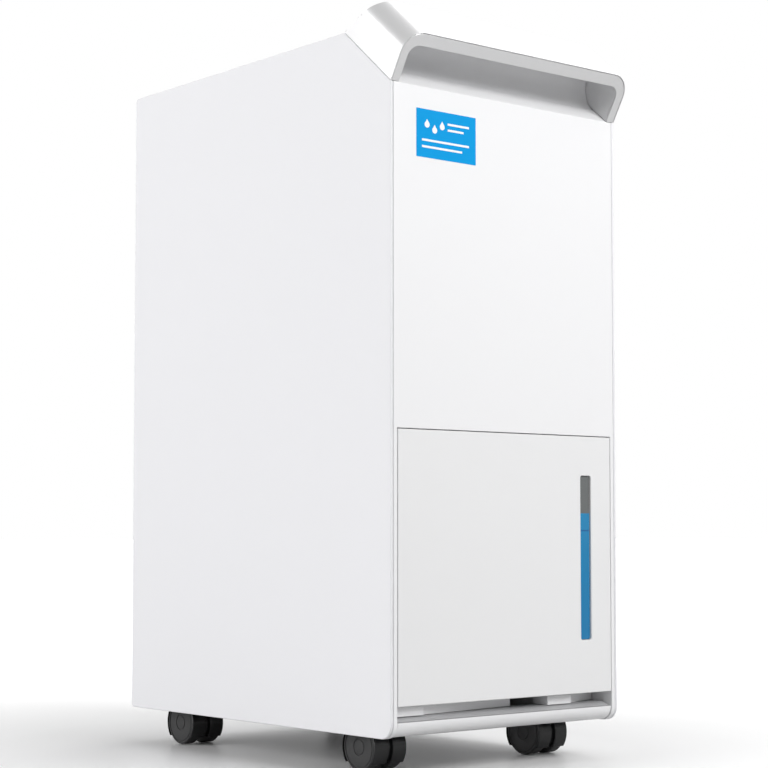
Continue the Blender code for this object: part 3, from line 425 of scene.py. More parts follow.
@dataclass(frozen=True)
class LevelGlass:
    """The tinted window: blue water up to a line, and a grey empty part above it."""

    name: str
    water_line: float
    faint_line: float
    water: Colour = (0.008, 0.215, 0.44)
    # Painted shade: the water's blue darkens towards the bottom, where less light reaches.
    shaded_water: Colour = (0.004, 0.175, 0.39)
    empty: Colour = (0.130, 0.138, 0.138)
    line: Colour = (0.003, 0.11, 0.30)

    def build(self) -> bpy.types.Material:
        """Makes the material, whose colour changes with the height.

        Returns:
            The finished material.
        """
        nodes = MaterialNodes(self.name)
        place = nodes.node("ShaderNodeTexCoord").outputs["Object"]
        height = nodes.node("ShaderNodeSeparateXYZ", {0: place}).outputs["Z"]
        top = self.water_line
        # Painted shade: over the 0.10 m below the water line, the blue darkens towards the bottom.
        depth = self.ramp(nodes, height, top - 0.10, top)
        above = self.ramp(nodes, height, top - 0.0004, top + 0.0004)
        line = nodes.node("ShaderNodeMath", {0: height, 1: self.faint_line, 2: 0.0006}, operation="COMPARE")
        grain = nodes.group(Effects.grain, Scale=500.0, Roughness=0.12, Spread=0.06)
        colour = nodes.mixed(depth, (*self.shaded_water, 1.0), self.water)
        colour = nodes.mixed(line.outputs[0], colour, self.line)
        nodes.set(Base_Color=nodes.mixed(above, colour, self.empty), Roughness=grain["Roughness"])
        nodes.set(Coat_Weight=0.25, Coat_Roughness=0.05)
        nodes.bump(grain["Height"], 0.000002)
        return nodes.material

    @staticmethod
    def ramp(
        nodes: MaterialNodes, height: bpy.types.NodeSocket, low: float, high: float
    ) -> bpy.types.NodeSocket:
        """A mask that rises from 0 to 1 between two heights."""
        return nodes.node(
            "ShaderNodeMapRange", {"Value": height, "From Min": low, "From Max": high}
        ).outputs[0]


@dataclass(frozen=True)
class Foam:
    """Closed-cell foam with small pores."""

    name: str
    colour: Colour

    def build(self) -> bpy.types.Material:
        """Makes the material.

        Returns:
            The finished material.
        """
        nodes = MaterialNodes(self.name)
        place = nodes.node("ShaderNodeTexCoord").outputs["Object"]
        cells = nodes.node("ShaderNodeTexVoronoi", {"Vector": place, "Scale": 600.0})
        drift = nodes.group(Effects.drift, Colour=self.colour, Shade=(0.75, 0.74, 0.70), Amount=0.5)
        grain = nodes.group(Effects.grain, Scale=900.0, Roughness=0.85)
        nodes.set(Base_Color=drift["Colour"], Roughness=grain["Roughness"])
        nodes.bump(cells.outputs["Distance"], 0.0003)
        return nodes.material


@dataclass(frozen=True)
class Glow:
    """Lit segments, slightly uneven as behind a diffuser."""

    name: str
    colour: Colour
    strength: float = 1.6

    def build(self) -> bpy.types.Material:
        """Makes the material.

        Returns:
            The finished material.
        """
        nodes = MaterialNodes(self.name)
        drift = nodes.group(
            Effects.drift, Colour=self.colour, Shade=(0.1, 0.6, 0.9), Amount=0.4, Scale=300.0
        )
        nodes.set(Emission_Color=drift["Colour"], Base_Color=drift["Colour"])
        nodes.set(Emission_Strength=self.strength, Roughness=0.4)
        return nodes.material


class Finish(Enum):
    """Every finish on the machine."""

    FRONT_WHITE = Plastic("front white", (0.83, 0.83, 0.84), (0.80, 0.80, 0.81), 0.30, coat=0.15)
    SIDE_WHITE = Plastic("side white", (0.800, 0.800, 0.822), (0.785, 0.785, 0.807), 0.50)
    PEARL = Plastic("pearl white", (0.80, 0.80, 0.805), (0.77, 0.77, 0.775), 0.28, metallic=0.45)
    # Painted shade: the hood's rim band takes a slightly darker copy of the pearl white, for its darker
    # reflections.
    SHADED_PEARL_RIM = Plastic("pearl rim painted shade", (0.78, 0.78, 0.785), (0.75, 0.75, 0.755), 0.30, metallic=0.60)
    RECESS = Plastic("recess white", (0.80, 0.80, 0.81), (0.77, 0.77, 0.78), 0.35)
    FACE_WHITE = Plastic("bucket face white", (0.785, 0.785, 0.79), (0.76, 0.76, 0.765), 0.32, coat=0.15)
    SHELF = Plastic("shelf grey", (0.50, 0.50, 0.51), (0.46, 0.46, 0.47), 0.40)
    BAY_GREY = Plastic("bay grey", (0.42, 0.43, 0.44), (0.38, 0.39, 0.40), 0.50, dust=0.1)
    INNER_GREY = Plastic("inner grey", (0.36, 0.37, 0.38), (0.32, 0.33, 0.34), 0.55, dust=0.15)
    CHASSIS = Plastic("chassis white", (0.70, 0.70, 0.71), (0.64, 0.64, 0.65), 0.50, dust=0.15)
    TUB = Plastic("milky tub", (0.66, 0.69, 0.72), (0.62, 0.66, 0.70), 0.32, coat=0.2)
    BLACK = Plastic(
        "caster black", (0.008, 0.008, 0.009), (0.013, 0.013, 0.014), 0.24,
        grain_depth=0.00001, wear=0.10, worn=(0.08, 0.08, 0.08), dust=0.01, specular=0.5,
    )
    WHEEL = Plastic(
        "wheel grey", (0.042, 0.042, 0.043), (0.034, 0.034, 0.035), 0.42,
        grain_depth=0.00001, wear=0.12, worn=(0.08, 0.08, 0.08), dust=0.01, specular=0.25,
    )
    PANEL_BLACK = Plastic("panel black", (0.012, 0.012, 0.014), (0.02, 0.02, 0.022), 0.10, coat=0.8)
    LENS = Plastic("display lens", (0.008, 0.010, 0.016), (0.010, 0.013, 0.020), 0.06, coat=1.0)
    GLOW = Glow("lit figures", (0.25, 0.85, 1.0))
    BUTTON = Plastic("button white", (0.78, 0.78, 0.79), (0.72, 0.72, 0.73), 0.38)
    PRINT_BLUE = Plastic(
        "sticker blue", (0.0, 0.31, 0.70), (0.0, 0.295, 0.67), 0.60, specular=0.1, grain_depth=0.000002
    )
    PRINT_WHITE = Plastic("sticker white", (0.88, 0.88, 0.88), (0.84, 0.84, 0.84), 0.35)
    PRINT_GREY = Plastic("print grey", (0.035, 0.035, 0.038), (0.05, 0.05, 0.053), 0.30)
    NET = Plastic("filter net", (0.03, 0.03, 0.033), (0.05, 0.05, 0.053), 0.65, dust=0.2)
    BOARD = Plastic("board green", (0.02, 0.18, 0.08), (0.015, 0.13, 0.06), 0.40, coat=0.3)
    SCREW = Metal("zinc screw", (0.62, 0.62, 0.60), (0.45, 0.45, 0.44), 0.32)
    STEEL = Metal("turned steel", (0.60, 0.60, 0.61), (0.50, 0.50, 0.51), 0.28)
    PAINTED = Metal("black paint", (0.02, 0.02, 0.02), (0.03, 0.03, 0.03), 0.42, metallic=0.15, wear=0.08)
    COPPER = Metal("drawn copper", (0.75, 0.36, 0.20), (0.55, 0.24, 0.13), 0.28)
    CAN = Metal("aluminium can", (0.76, 0.77, 0.78), (0.66, 0.67, 0.68), 0.34)
    FOAM = Foam("float foam", (0.86, 0.86, 0.83))

    @property
    def material(self) -> bpy.types.Material:
        """The finish's material, built the first time that it is asked for."""
        return bpy.data.materials.get(self.value.name) or self.value.build()


# ---- Mesh tools ----------------------------------------------------------------------------------


def shape(name: str, mesh: bpy.types.Mesh) -> bpy.types.Object:
    """An object of this mesh, at the origin."""
    made = bpy.data.objects.new(name, mesh)
    bpy.context.scene.collection.objects.link(made)
    return made


def drawn(name: str, fill: Callable[[bmesh.types.BMesh], None]) -> bpy.types.Object:
    """Makes an object from what a function draws.

    Args:
        name: The object's name.
        fill: A function that draws into a bmesh.

    Returns:
        The new object.
    """
    mesh = bpy.data.meshes.new(name)
    work = bmesh.new()
    fill(work)
    bmesh.ops.remove_doubles(work, verts=work.verts, dist=1e-6)
    bmesh.ops.recalc_face_normals(work, faces=work.faces)
    work.to_mesh(mesh)
    work.free()
    return shape(name, mesh)


def add_block(work: bmesh.types.BMesh, low: Point, high: Point) -> None:
    """Draws a box between two corners."""
    low_corner, high_corner = Vector(low), Vector(high)
    size = Matrix.Diagonal((*(high_corner - low_corner), 1))
    bmesh.ops.create_cube(work, size=1, matrix=Matrix.Translation((low_corner + high_corner) / 2) @ size)


def block(name: str, low: Point, high: Point) -> bpy.types.Object:
    """A box between two corners."""
    return drawn(name, lambda work: add_block(work, low, high))


def blocks(name: str, corners: Iterable[tuple[Point, Point]]) -> bpy.types.Object:
    """Several boxes in one object."""

    def fill(work: bmesh.types.BMesh) -> None:
        for low, high in corners:
            add_block(work, low, high)

    return drawn(name, fill)


def turned(
    name: str, profile: Sequence[Point], start: Point, axis: Point, segments: int = ROUND_SEGMENTS
) -> bpy.types.Object:
    """Turns a profile about an axis.

    Args:
        name: The object's name.
        profile: Points of (radius, distance along the axis).
        start: The point on the axis at distance 0.
        axis: The axis's direction.
        segments: The number of sides.

    Returns:
        The turned solid.
    """
    along = Vector(axis).normalized()
    out = along.orthogonal().normalized()

    def fill(work: bmesh.types.BMesh) -> None:
        verts = [work.verts.new(Vector(start) + out * radius + along * run) for radius, run in profile]
        edges = [work.edges.new(pair) for pair in zip(verts, verts[1:])]
        bmesh.ops.spin(
            work,
            geom=verts + edges,
            cent=start,
            axis=along,
            angle=2 * math.pi,
            steps=segments,
            use_merge=True,
        )

    return drawn(name, fill)


def rod(
    name: str, start: Point, end: Point, radius: float, segments: int = ROUND_SEGMENTS
) -> bpy.types.Object:
    """A plain cylinder between two points."""
    axis = Vector(end) - Vector(start)
    run = axis.length
    return turned(name, ((0, 0), (radius, 0), (radius, run), (0, run)), start, axis, segments)


def round_corners(corners: Sequence[Point], steps: int = 8) -> list[Vector]:
    """Turns the corners of a closed outline into arcs.

    Args:
        corners: Points of (u, v, radius).
        steps: The number of straight pieces in each arc.

    Returns:
        The points of the outline.
    """
    points = []
    for i, (u, v, radius) in enumerate(corners):
        here = Vector((u, v))
        if radius <= 0:
            points.append(here)
            continue
        before = (Vector(corners[i - 1][:2]) - here).normalized()
        after = (Vector(corners[(i + 1) % len(corners)][:2]) - here).normalized()
        half = before.angle(after) / 2
        centre = here + (before + after).normalized() * radius / math.sin(half)
        start = here + before * radius / math.tan(half) - centre
        sweep = start.angle_signed(here + after * radius / math.tan(half) - centre)
        points += [centre + Matrix.Rotation(-sweep * step / steps, 2) @ start for step in range(steps + 1)]
    return points


def prism(name: str, outline: Sequence[Point], thickness: float, place: Matrix) -> bpy.types.Object:
    """Makes a flat outline solid.

    Args:
        name: The object's name.
        outline: Points of (u, v), in order.
        thickness: The whole thickness, half on each side of the outline's plane.
        place: The matrix that sets the outline's plane in the world.

    Returns:
        The solid.
    """

    def fill(work: bmesh.types.BMesh) -> None:
        verts = [work.verts.new(place @ Vector((u, v, -thickness / 2))) for u, v in outline]
        face = work.faces.new(verts)
        lifted = bmesh.ops.extrude_face_region(work, geom=[face])["geom"]
        shift = place.to_3x3() @ Vector((0, 0, thickness))
        bmesh.ops.translate(work, vec=shift, verts=[v for v in lifted if isinstance(v, bmesh.types.BMVert)])

    return drawn(name, fill)


def tube(name: str, path: Sequence[Point], radius: float) -> bpy.types.Object:
    """A round bar along a path, with closed ends, as a plain mesh."""
    curve = bpy.data.curves.new(name, "CURVE")
    curve.dimensions = "3D"
    curve.bevel_depth = radius
    curve.bevel_resolution = 6
    curve.use_fill_caps = True
    spline = curve.splines.new("POLY")
    spline.points.add(len(path) - 1)
    for point, place in zip(spline.points, path):
        point.co = (*place, 1)
    return settled(shape(name, curve))


def bend(points: Sequence[Point], radius: float, steps: int = 8) -> list[Vector]:
    """Turns the inner corners of a path into arcs of this radius."""
    path = [Vector(points[0])]
    for before, here, after in zip(points, points[1:], points[2:]):
        corner = Vector(here)
        back_way = (Vector(before) - corner).normalized()
        on_way = (Vector(after) - corner).normalized()
        half = back_way.angle(on_way) / 2
        centre = corner + (back_way + on_way).normalized() * radius / math.sin(half)
        start = corner + back_way * radius / math.tan(half) - centre
        axis = on_way.cross(back_way)
        for step in range(steps + 1):
            turn = Matrix.Rotation((math.pi - 2 * half) * step / steps, 3, axis)
            path.append(centre + turn @ start)
    path.append(Vector(points[-1]))
    return path


def upright(x: float, measures: Measures) -> Matrix:
    """Sets an outline of (depth, height) upright at this x."""
    return Matrix(((0, 0, 1, x), (1, 0, 0, measures.front), (0, 1, 0, 0), (0, 0, 0, 1)))


def facing(y: float) -> Matrix:
    """Sets an outline of (x, height) upright at this y."""
    return Matrix(((1, 0, 0, 0), (0, 0, -1, y), (0, 1, 0, 0), (0, 0, 0, 1)))


def level(z: float) -> Matrix:
    """Sets an outline of (x, y) flat at this height."""
    return Matrix.Translation((0, 0, z))


def settled(made: bpy.types.Object) -> bpy.types.Object:
    """Swaps an object for a plain mesh of what its modifiers make.

    Args:
        made: The object, which is removed.

    Returns:
        The new object, with the same name and no modifiers.
    """
    bpy.context.view_layer.update()
    graph = bpy.context.evaluated_depsgraph_get()
    mesh = bpy.data.meshes.new_from_object(made.evaluated_get(graph))
    name = made.name
    bpy.data.objects.remove(made)
    mesh.name = name
    return shape(name, mesh)


def changed(
    target: bpy.types.Object, operation: str, tools: Iterable[bpy.types.Object]
) -> bpy.types.Object:
    """Applies Booleans to an object and removes their tools.

    Args:
        target: The object to change.
        operation: DIFFERENCE or UNION.
        tools: The objects that cut it or join it.

    Returns:
        The changed object.
    """
    tools = list(tools)
    for tool in tools:
        boolean = target.modifiers.new(tool.name, "BOOLEAN")
        boolean.object = tool
        boolean.operation = operation
    result = settled(target)
    for tool in tools:
        bpy.data.objects.remove(tool)
    return result


def cut(target: bpy.types.Object, *tools: bpy.types.Object) -> bpy.types.Object:
    """Cuts the tools out of the target."""
    return changed(target, "DIFFERENCE", tools)


def joined(target: bpy.types.Object, *tools: bpy.types.Object) -> bpy.types.Object:
    """Joins the tools to the target."""
    return changed(target, "UNION", tools)


def eased(made: bpy.types.Object, width: float, segments: int = 3) -> bpy.types.Object:
    """Rounds the sharp edges of an object.

    Args:
        made: The object.
        width: The radius of the rounding.
        segments: The steps across it.

    Returns:
        The rounded object.
    """
    work = bmesh.new()
    work.from_mesh(made.data)
    bmesh.ops.remove_doubles(work, verts=work.verts, dist=2e-6)
    bmesh.ops.dissolve_limit(
        work, angle_limit=math.radians(
            0.5
        ), use_dissolve_boundaries=False, verts=work.verts, edges=work.edges
    )
    work.to_mesh(made.data)
    work.free()
    made.data.shade_smooth()
    bevel = made.modifiers.new("eased edges", "BEVEL")
    bevel.width = width
    bevel.segments = segments
    bevel.limit_method = "ANGLE"
    bevel.angle_limit = math.radians(30)
    weighted = made.modifiers.new("flat faces stay flat", "WEIGHTED_NORMAL")
    weighted.keep_sharp = True
    return settled(made)


def smoothed(made: bpy.types.Object) -> bpy.types.Object:
    """Shades an object smooth, but for its sharp edges."""
    made.data.shade_smooth()
    made.data.set_sharp_from_angle(angle=SMOOTH_ANGLE)
    return made


def piece(
    made: bpy.types.Object, body: str, finish: Finish | bpy.types.Material, replaced: Iterable[
        str
    ] = ()
) -> bpy.types.Object:
    """Dresses a finished object and fixes it to the frame.

    Args:
        made: The object, in place.
        body: The body that it moves with.
        finish: Its finish.
        replaced: The CAD nodes that it stands for.

    Returns:
        The object.
    """
    made.data.materials.clear()
    made.data.materials.append(finish.material if isinstance(finish, Finish) else finish)
    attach(made, body)
    replaced = list(replaced)
    if replaced:
        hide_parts(*replaced)
    log.info("%s rides on %s with %d faces", made.name, body, len(made.data.polygons))
    return made


# ---- Geometry Nodes ------------------------------------------------------------------------------


class ArrayTree(NodeTree):
    """A Geometry Nodes tree with named inputs, whose result becomes a plain mesh."""

    def __init__(self, name: str, inputs: dict[str, str]) -> None:
        """Makes the tree's sockets.

        Args:
            name: The tree's name.
            inputs: Each input's name and socket type, after the geometry.
        """
        super().__init__(bpy.data.node_groups.new(name, "GeometryNodeTree"))
        face = self.tree.interface
        face.new_socket("Unit", in_out="INPUT", socket_type="NodeSocketGeometry")
        for label, kind in inputs.items():
            face.new_socket(label, in_out="INPUT", socket_type=kind)
        face.new_socket("Finish", in_out="INPUT", socket_type="NodeSocketMaterial")
        face.new_socket("Result", in_out="OUTPUT", socket_type="NodeSocketGeometry")
        self.given = self.node("NodeGroupInput").outputs
        self.end = self.node("NodeGroupOutput")

    def copies(self, inputs: dict[str, bpy.types.NodeSocket]) -> bpy.types.Node:
        """Instances of a thing on points."""
        return self.node("GeometryNodeInstanceOnPoints", inputs)

    def real(self, instances: bpy.types.Node) -> bpy.types.NodeSocket:
        """Instances made real."""
        return self.node("GeometryNodeRealizeInstances", {0: instances.outputs["Instances"]}).outputs[0]

    def close(self, instances: bpy.types.Node) -> None:
        """Ends the tree: the instances are made real and take the finish."""
        inputs = {"Geometry": self.real(instances), "Material": self.given["Finish"]}
        self.wire(self.end, {0: self.node("GeometryNodeSetMaterial", inputs).outputs[0]})

    def applied(self, unit: bpy.types.Object, finish: Finish, **values: object) -> bpy.types.Object:
        """Repeats a unit.

        Args:
            unit: The object to repeat, which is used up.
            finish: The finish of every copy.
            values: Input names, with _ for a space, and their values.

        Returns:
            A plain mesh object that holds all the copies.
        """
        modifier = unit.modifiers.new("array", "NODES")
        modifier.node_group = self.tree
        wanted = {name.replace("_", " "): value for name, value in values.items()}
        wanted["Finish"] = finish.material
        for item in self.tree.interface.items_tree:
            if item.in_out == "INPUT" and item.name in wanted:
                modifier[item.identifier] = wanted[item.name]
        return settled(unit)


def grid_tree() -> ArrayTree:
    """Copies of a unit in rows and columns.

    Returns:
        The tree, with inputs Columns, Column Step, Rows and Row Step.
    """
    tree = ArrayTree(
        "rows and columns",
        {
            "Columns": "NodeSocketInt",
            "Column Step": "NodeSocketVector",
            "Rows": "NodeSocketInt",
            "Row Step": "NodeSocketVector",
        },
    )
    given = tree.given
    columns, rows = (
        tree.node(
            "GeometryNodeMeshLine", {
                "Count": given[name + "s"], "Offset": given[name + " Step"]
            }, mode="OFFSET"
        ).outputs["Mesh"]
        for name in ("Column", "Row")
    )
    places = tree.real(tree.copies({"Points": rows, "Instance": columns}))
    tree.close(tree.copies({"Points": places, "Instance": given["Unit"]}))
    return tree


def ring_tree() -> ArrayTree:
    """Copies of a unit turned about an axis.

    Returns:
        The tree, with inputs Count, Centre and Axis.
    """
    tree = ArrayTree(
        "ring", {"Count": "NodeSocketInt", "Centre": "NodeSocketVector", "Axis": "NodeSocketVector"}
    )
    given = tree.given
    start = {"Count": given["Count"], "Start Location": given["Centre"], "Offset": (0, 0, 0)}
    line = tree.node("GeometryNodeMeshLine", start, mode="OFFSET")
    index = tree.node("GeometryNodeInputIndex")
    share = tree.node("ShaderNodeMath", {0: index.outputs[0], 1: given["Count"]}, operation="DIVIDE")
    angle = tree.node("ShaderNodeMath", {0: share.outputs[0], 1: 2 * math.pi}, operation="MULTIPLY")
    turn = tree.node("FunctionNodeAxisAngleToRotation", {"Axis": given["Axis"], "Angle": angle.outputs[0]})
    away = tree.node("ShaderNodeVectorMath", {0: given["Centre"], "Scale": -1.0}, operation="SCALE")
    moved = tree.node("GeometryNodeTransform", {"Geometry": given["Unit"], "Translation": away.outputs[0]})
    points, unit, rotation = line.outputs["Mesh"], moved.outputs["Geometry"], turn.outputs["Rotation"]
    tree.close(tree.copies({"Points": points, "Instance": unit, "Rotation": rotation}))
    return tree


class Arrays:
    """The Geometry Nodes trees that the sub-assemblies share."""

    grid = grid_tree()
    ring = ring_tree()


def screw_head(name: str, centre: Point, axis: Point, radius: float = 0.0034) -> bpy.types.Object:
    """A pan-head screw with a cross recess, its head standing out along an axis.

    Args:
        name: The object's name.
        centre: The middle of the head's foot.
        axis: The way that the head faces.
        radius: The head's radius.

    Returns:
        The screw's head.
    """
    height = radius * 0.55
    profile = [(0, -0.0006), (radius, -0.0006), (radius, height * 0.45)]
    profile += [
        (radius * math.cos(a), height * (0.45 + 0.55 * math.sin(a)))
        for a in (math.radians(15 * i) for i in range(1, 6))
    ]
    head = turned(name, [*profile, (0, height)], centre, axis, 24)
    along = Vector(axis).normalized()
    turn = along.to_track_quat("Z", "Y").to_matrix().to_4x4()
    place = Matrix.Translation(Vector(centre) + along * height) @ turn
    long, wide, deep = radius * 0.62, radius * 0.13, height * 0.7
    arms = [block(f"{name}_arm", (-u, -v, -deep), (u, v, deep)) for u, v in ((long, wide), (wide, long))]
    for arm in arms:
        arm.data.transform(place)
    return smoothed(cut(head, *arms))


def slat(name: str, section: Point, degrees: float, width: float, middle: Vector) -> bpy.types.Object:
    """A tilted slat with rounded edges, across the machine.

    Args:
        name: The object's name.
        section: Half its length, half its thickness and the radius of its edges.
        degrees: Its tilt.
        width: How wide it is.
        middle: Its middle.

    Returns:
        The slat.
    """
    long, thick, radius = section
    corners = ((-long, -thick), (long, -thick), (long, thick), (-long, thick))
    outline = round_corners([(*corner, radius) for corner in corners], steps=3)
    tilt = Matrix.Rotation(math.radians(degrees), 2)
    place = Matrix(((0, 0, 1, middle.x), (1, 0, 0, middle.y), (0, 1, 0, middle.z), (0, 0, 0, 1)))
    return prism(name, [tilt @ point for point in outline], width, place)


def copy_of(node: str) -> bpy.types.Object:
    """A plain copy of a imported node's solid, with its triangles merged.

    Args:
        node: The node's name.

    Returns:
        The copy.
    """
    made = shape(f"{node}_shell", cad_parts[node].data.copy())
    work = bmesh.new()
    work.from_mesh(made.data)
    bmesh.ops.remove_doubles(work, verts=work.verts, dist=2e-6)
    work.to_mesh(made.data)
    work.free()
    return made


def dress(finish: Finish, *nodes: str) -> None:
    """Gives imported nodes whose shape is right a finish.

    Args:
        finish: The finish.
        nodes: The nodes' names.
    """
    for node in nodes:
        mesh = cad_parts[node].data
        mesh.materials.clear()
        mesh.materials.append(finish.material)
        log.info("%s keeps its solid, in %s", node, finish.value.name)


def together(name: str, *parts: bpy.types.Object) -> bpy.types.Object:
    """Puts separate shells into one object.

    Args:
        name: The new object's name.
        parts: The objects, which are used up.

    Returns:
        The new object.
    """
    work = bmesh.new()
    for part in parts:
        work.from_mesh(part.data)
    mesh = bpy.data.meshes.new(name)
    work.to_mesh(mesh)
    work.free()
    for part in parts:
        bpy.data.objects.remove(part)
    return shape(name, mesh)


# ---- The casing ----------------------------------------------------------------------------------


@dataclass
class SideShells:
    """The two flat side panels, cut away at the top front where the hood stands."""

    measures: Measures
    thickness: float = 0.0025
    front_corner: float = 0.011
    rear_corner: float = 0.003
    edge: float = 0.0009

    def build(self) -> None:
        """Builds the left and the right panel."""
        for side in Side:
            self.panel(side)

    def panel(self, side: Side) -> None:
        """Builds one panel.

        Args:
            side: Which of the two.
        """
        m = self.measures
        depth = m.back - m.front
        outline = round_corners(
            (
                (0, m.bottom, self.front_corner),
                (depth, m.bottom, self.rear_corner),
                (depth, m.top, self.rear_corner),
                (m.chamfer_run, m.top, 0),
                (0, m.chamfer_foot, 0),
            ),
            steps=10,
        )
        name = side.name.lower()
        middle = side.value * (m.half_width - self.thickness / 2)
        shell = eased(
            prism(f"side_shell_{name}", outline, self.thickness, upright(middle, m)), self.edge, 4
        )
        piece(shell, "root", Finish.SIDE_WHITE, [f"{name}_panel"])


@dataclass
class FrontShell:
    """The upper face with the lip above it, the strips beside the bucket, and the rounded sill below."""

    measures: Measures
    corner: float = 0.011
    sill_depth: float = 0.024
    sill_height: float = 0.0118
    strip: float = 0.0036
    lip: float = 0.019
    thickness: float = 0.003
    edge: float = 0.0006
    sill_seam: float = 0.0006
    sill_set_back: float = 0.0007

    def build(self) -> None:
        """Builds the frame and the sill."""
        piece(self.face(), "root", Finish.FRONT_WHITE, ["front_frame"])
        piece(self.sill(), "root", Finish.FRONT_WHITE)

    def section(self, set_back: float = 0.0) -> list[Vector]:
        """The section of the front, in (depth, height).

        Args:
            set_back: How far the rounded foot stands behind the face.

        Returns:
            The outline's points.
        """
        m = self.measures
        slope = math.tan(m.chamfer_angle)
        lip = self.lip * math.cos(m.chamfer_angle)
        return round_corners(
            (
                (set_back, m.bottom + set_back, self.corner),
                (self.sill_depth, m.bottom + set_back, 0),
                (self.sill_depth, m.chamfer_foot - 0.012, 0),
                (lip, m.chamfer_foot + slope * lip, 0),
                (set_back, m.chamfer_foot, 0),
            ),
            steps=14,
        )

    def face(self) -> bpy.types.Object:
        """The upper face and the strips, without the sill between them."""
        m = self.measures
        inner = m.inside - self.strip
        frame_body = prism("front_shell", self.section(), 2 * m.inside, upright(0, m))
        opening = block(
            "bucket_opening",
            (-inner, m.at(-0.01), m.bottom - 0.01),
            (inner, m.at(self.sill_depth + 0.01), m.seam + 0.0006),
        )
        slope, under = math.tan(
            m.chamfer_angle
        ), m.chamfer_foot - self.thickness / math.cos(m.chamfer_angle)
        near, far, foot = self.thickness, self.sill_depth + 0.01, m.seam + 0.004
        section = ((near, foot), (far, foot), (far, under + slope * far), (near, under + slope * near))
        hollow = prism("behind_the_face", section, 2 * (m.inside - self.thickness), upright(0, m))
        return eased(cut(frame_body, opening, hollow), self.edge)

    def sill(self) -> bpy.types.Object:
        """The rounded sill under the bucket, a moulding of its own between the strips."""
        m = self.measures
        half = m.inside - self.strip - self.sill_seam
        sill = prism("sill", self.section(self.sill_set_back), 2 * half, upright(0, m))
        above = block(
            "above_the_sill",
            (-m.half_width, m.at(-0.01), m.bottom + self.sill_height),
            (m.half_width, m.at(self.sill_depth + 0.01), m.top + 0.01),
        )
        return eased(cut(sill, above), self.edge)


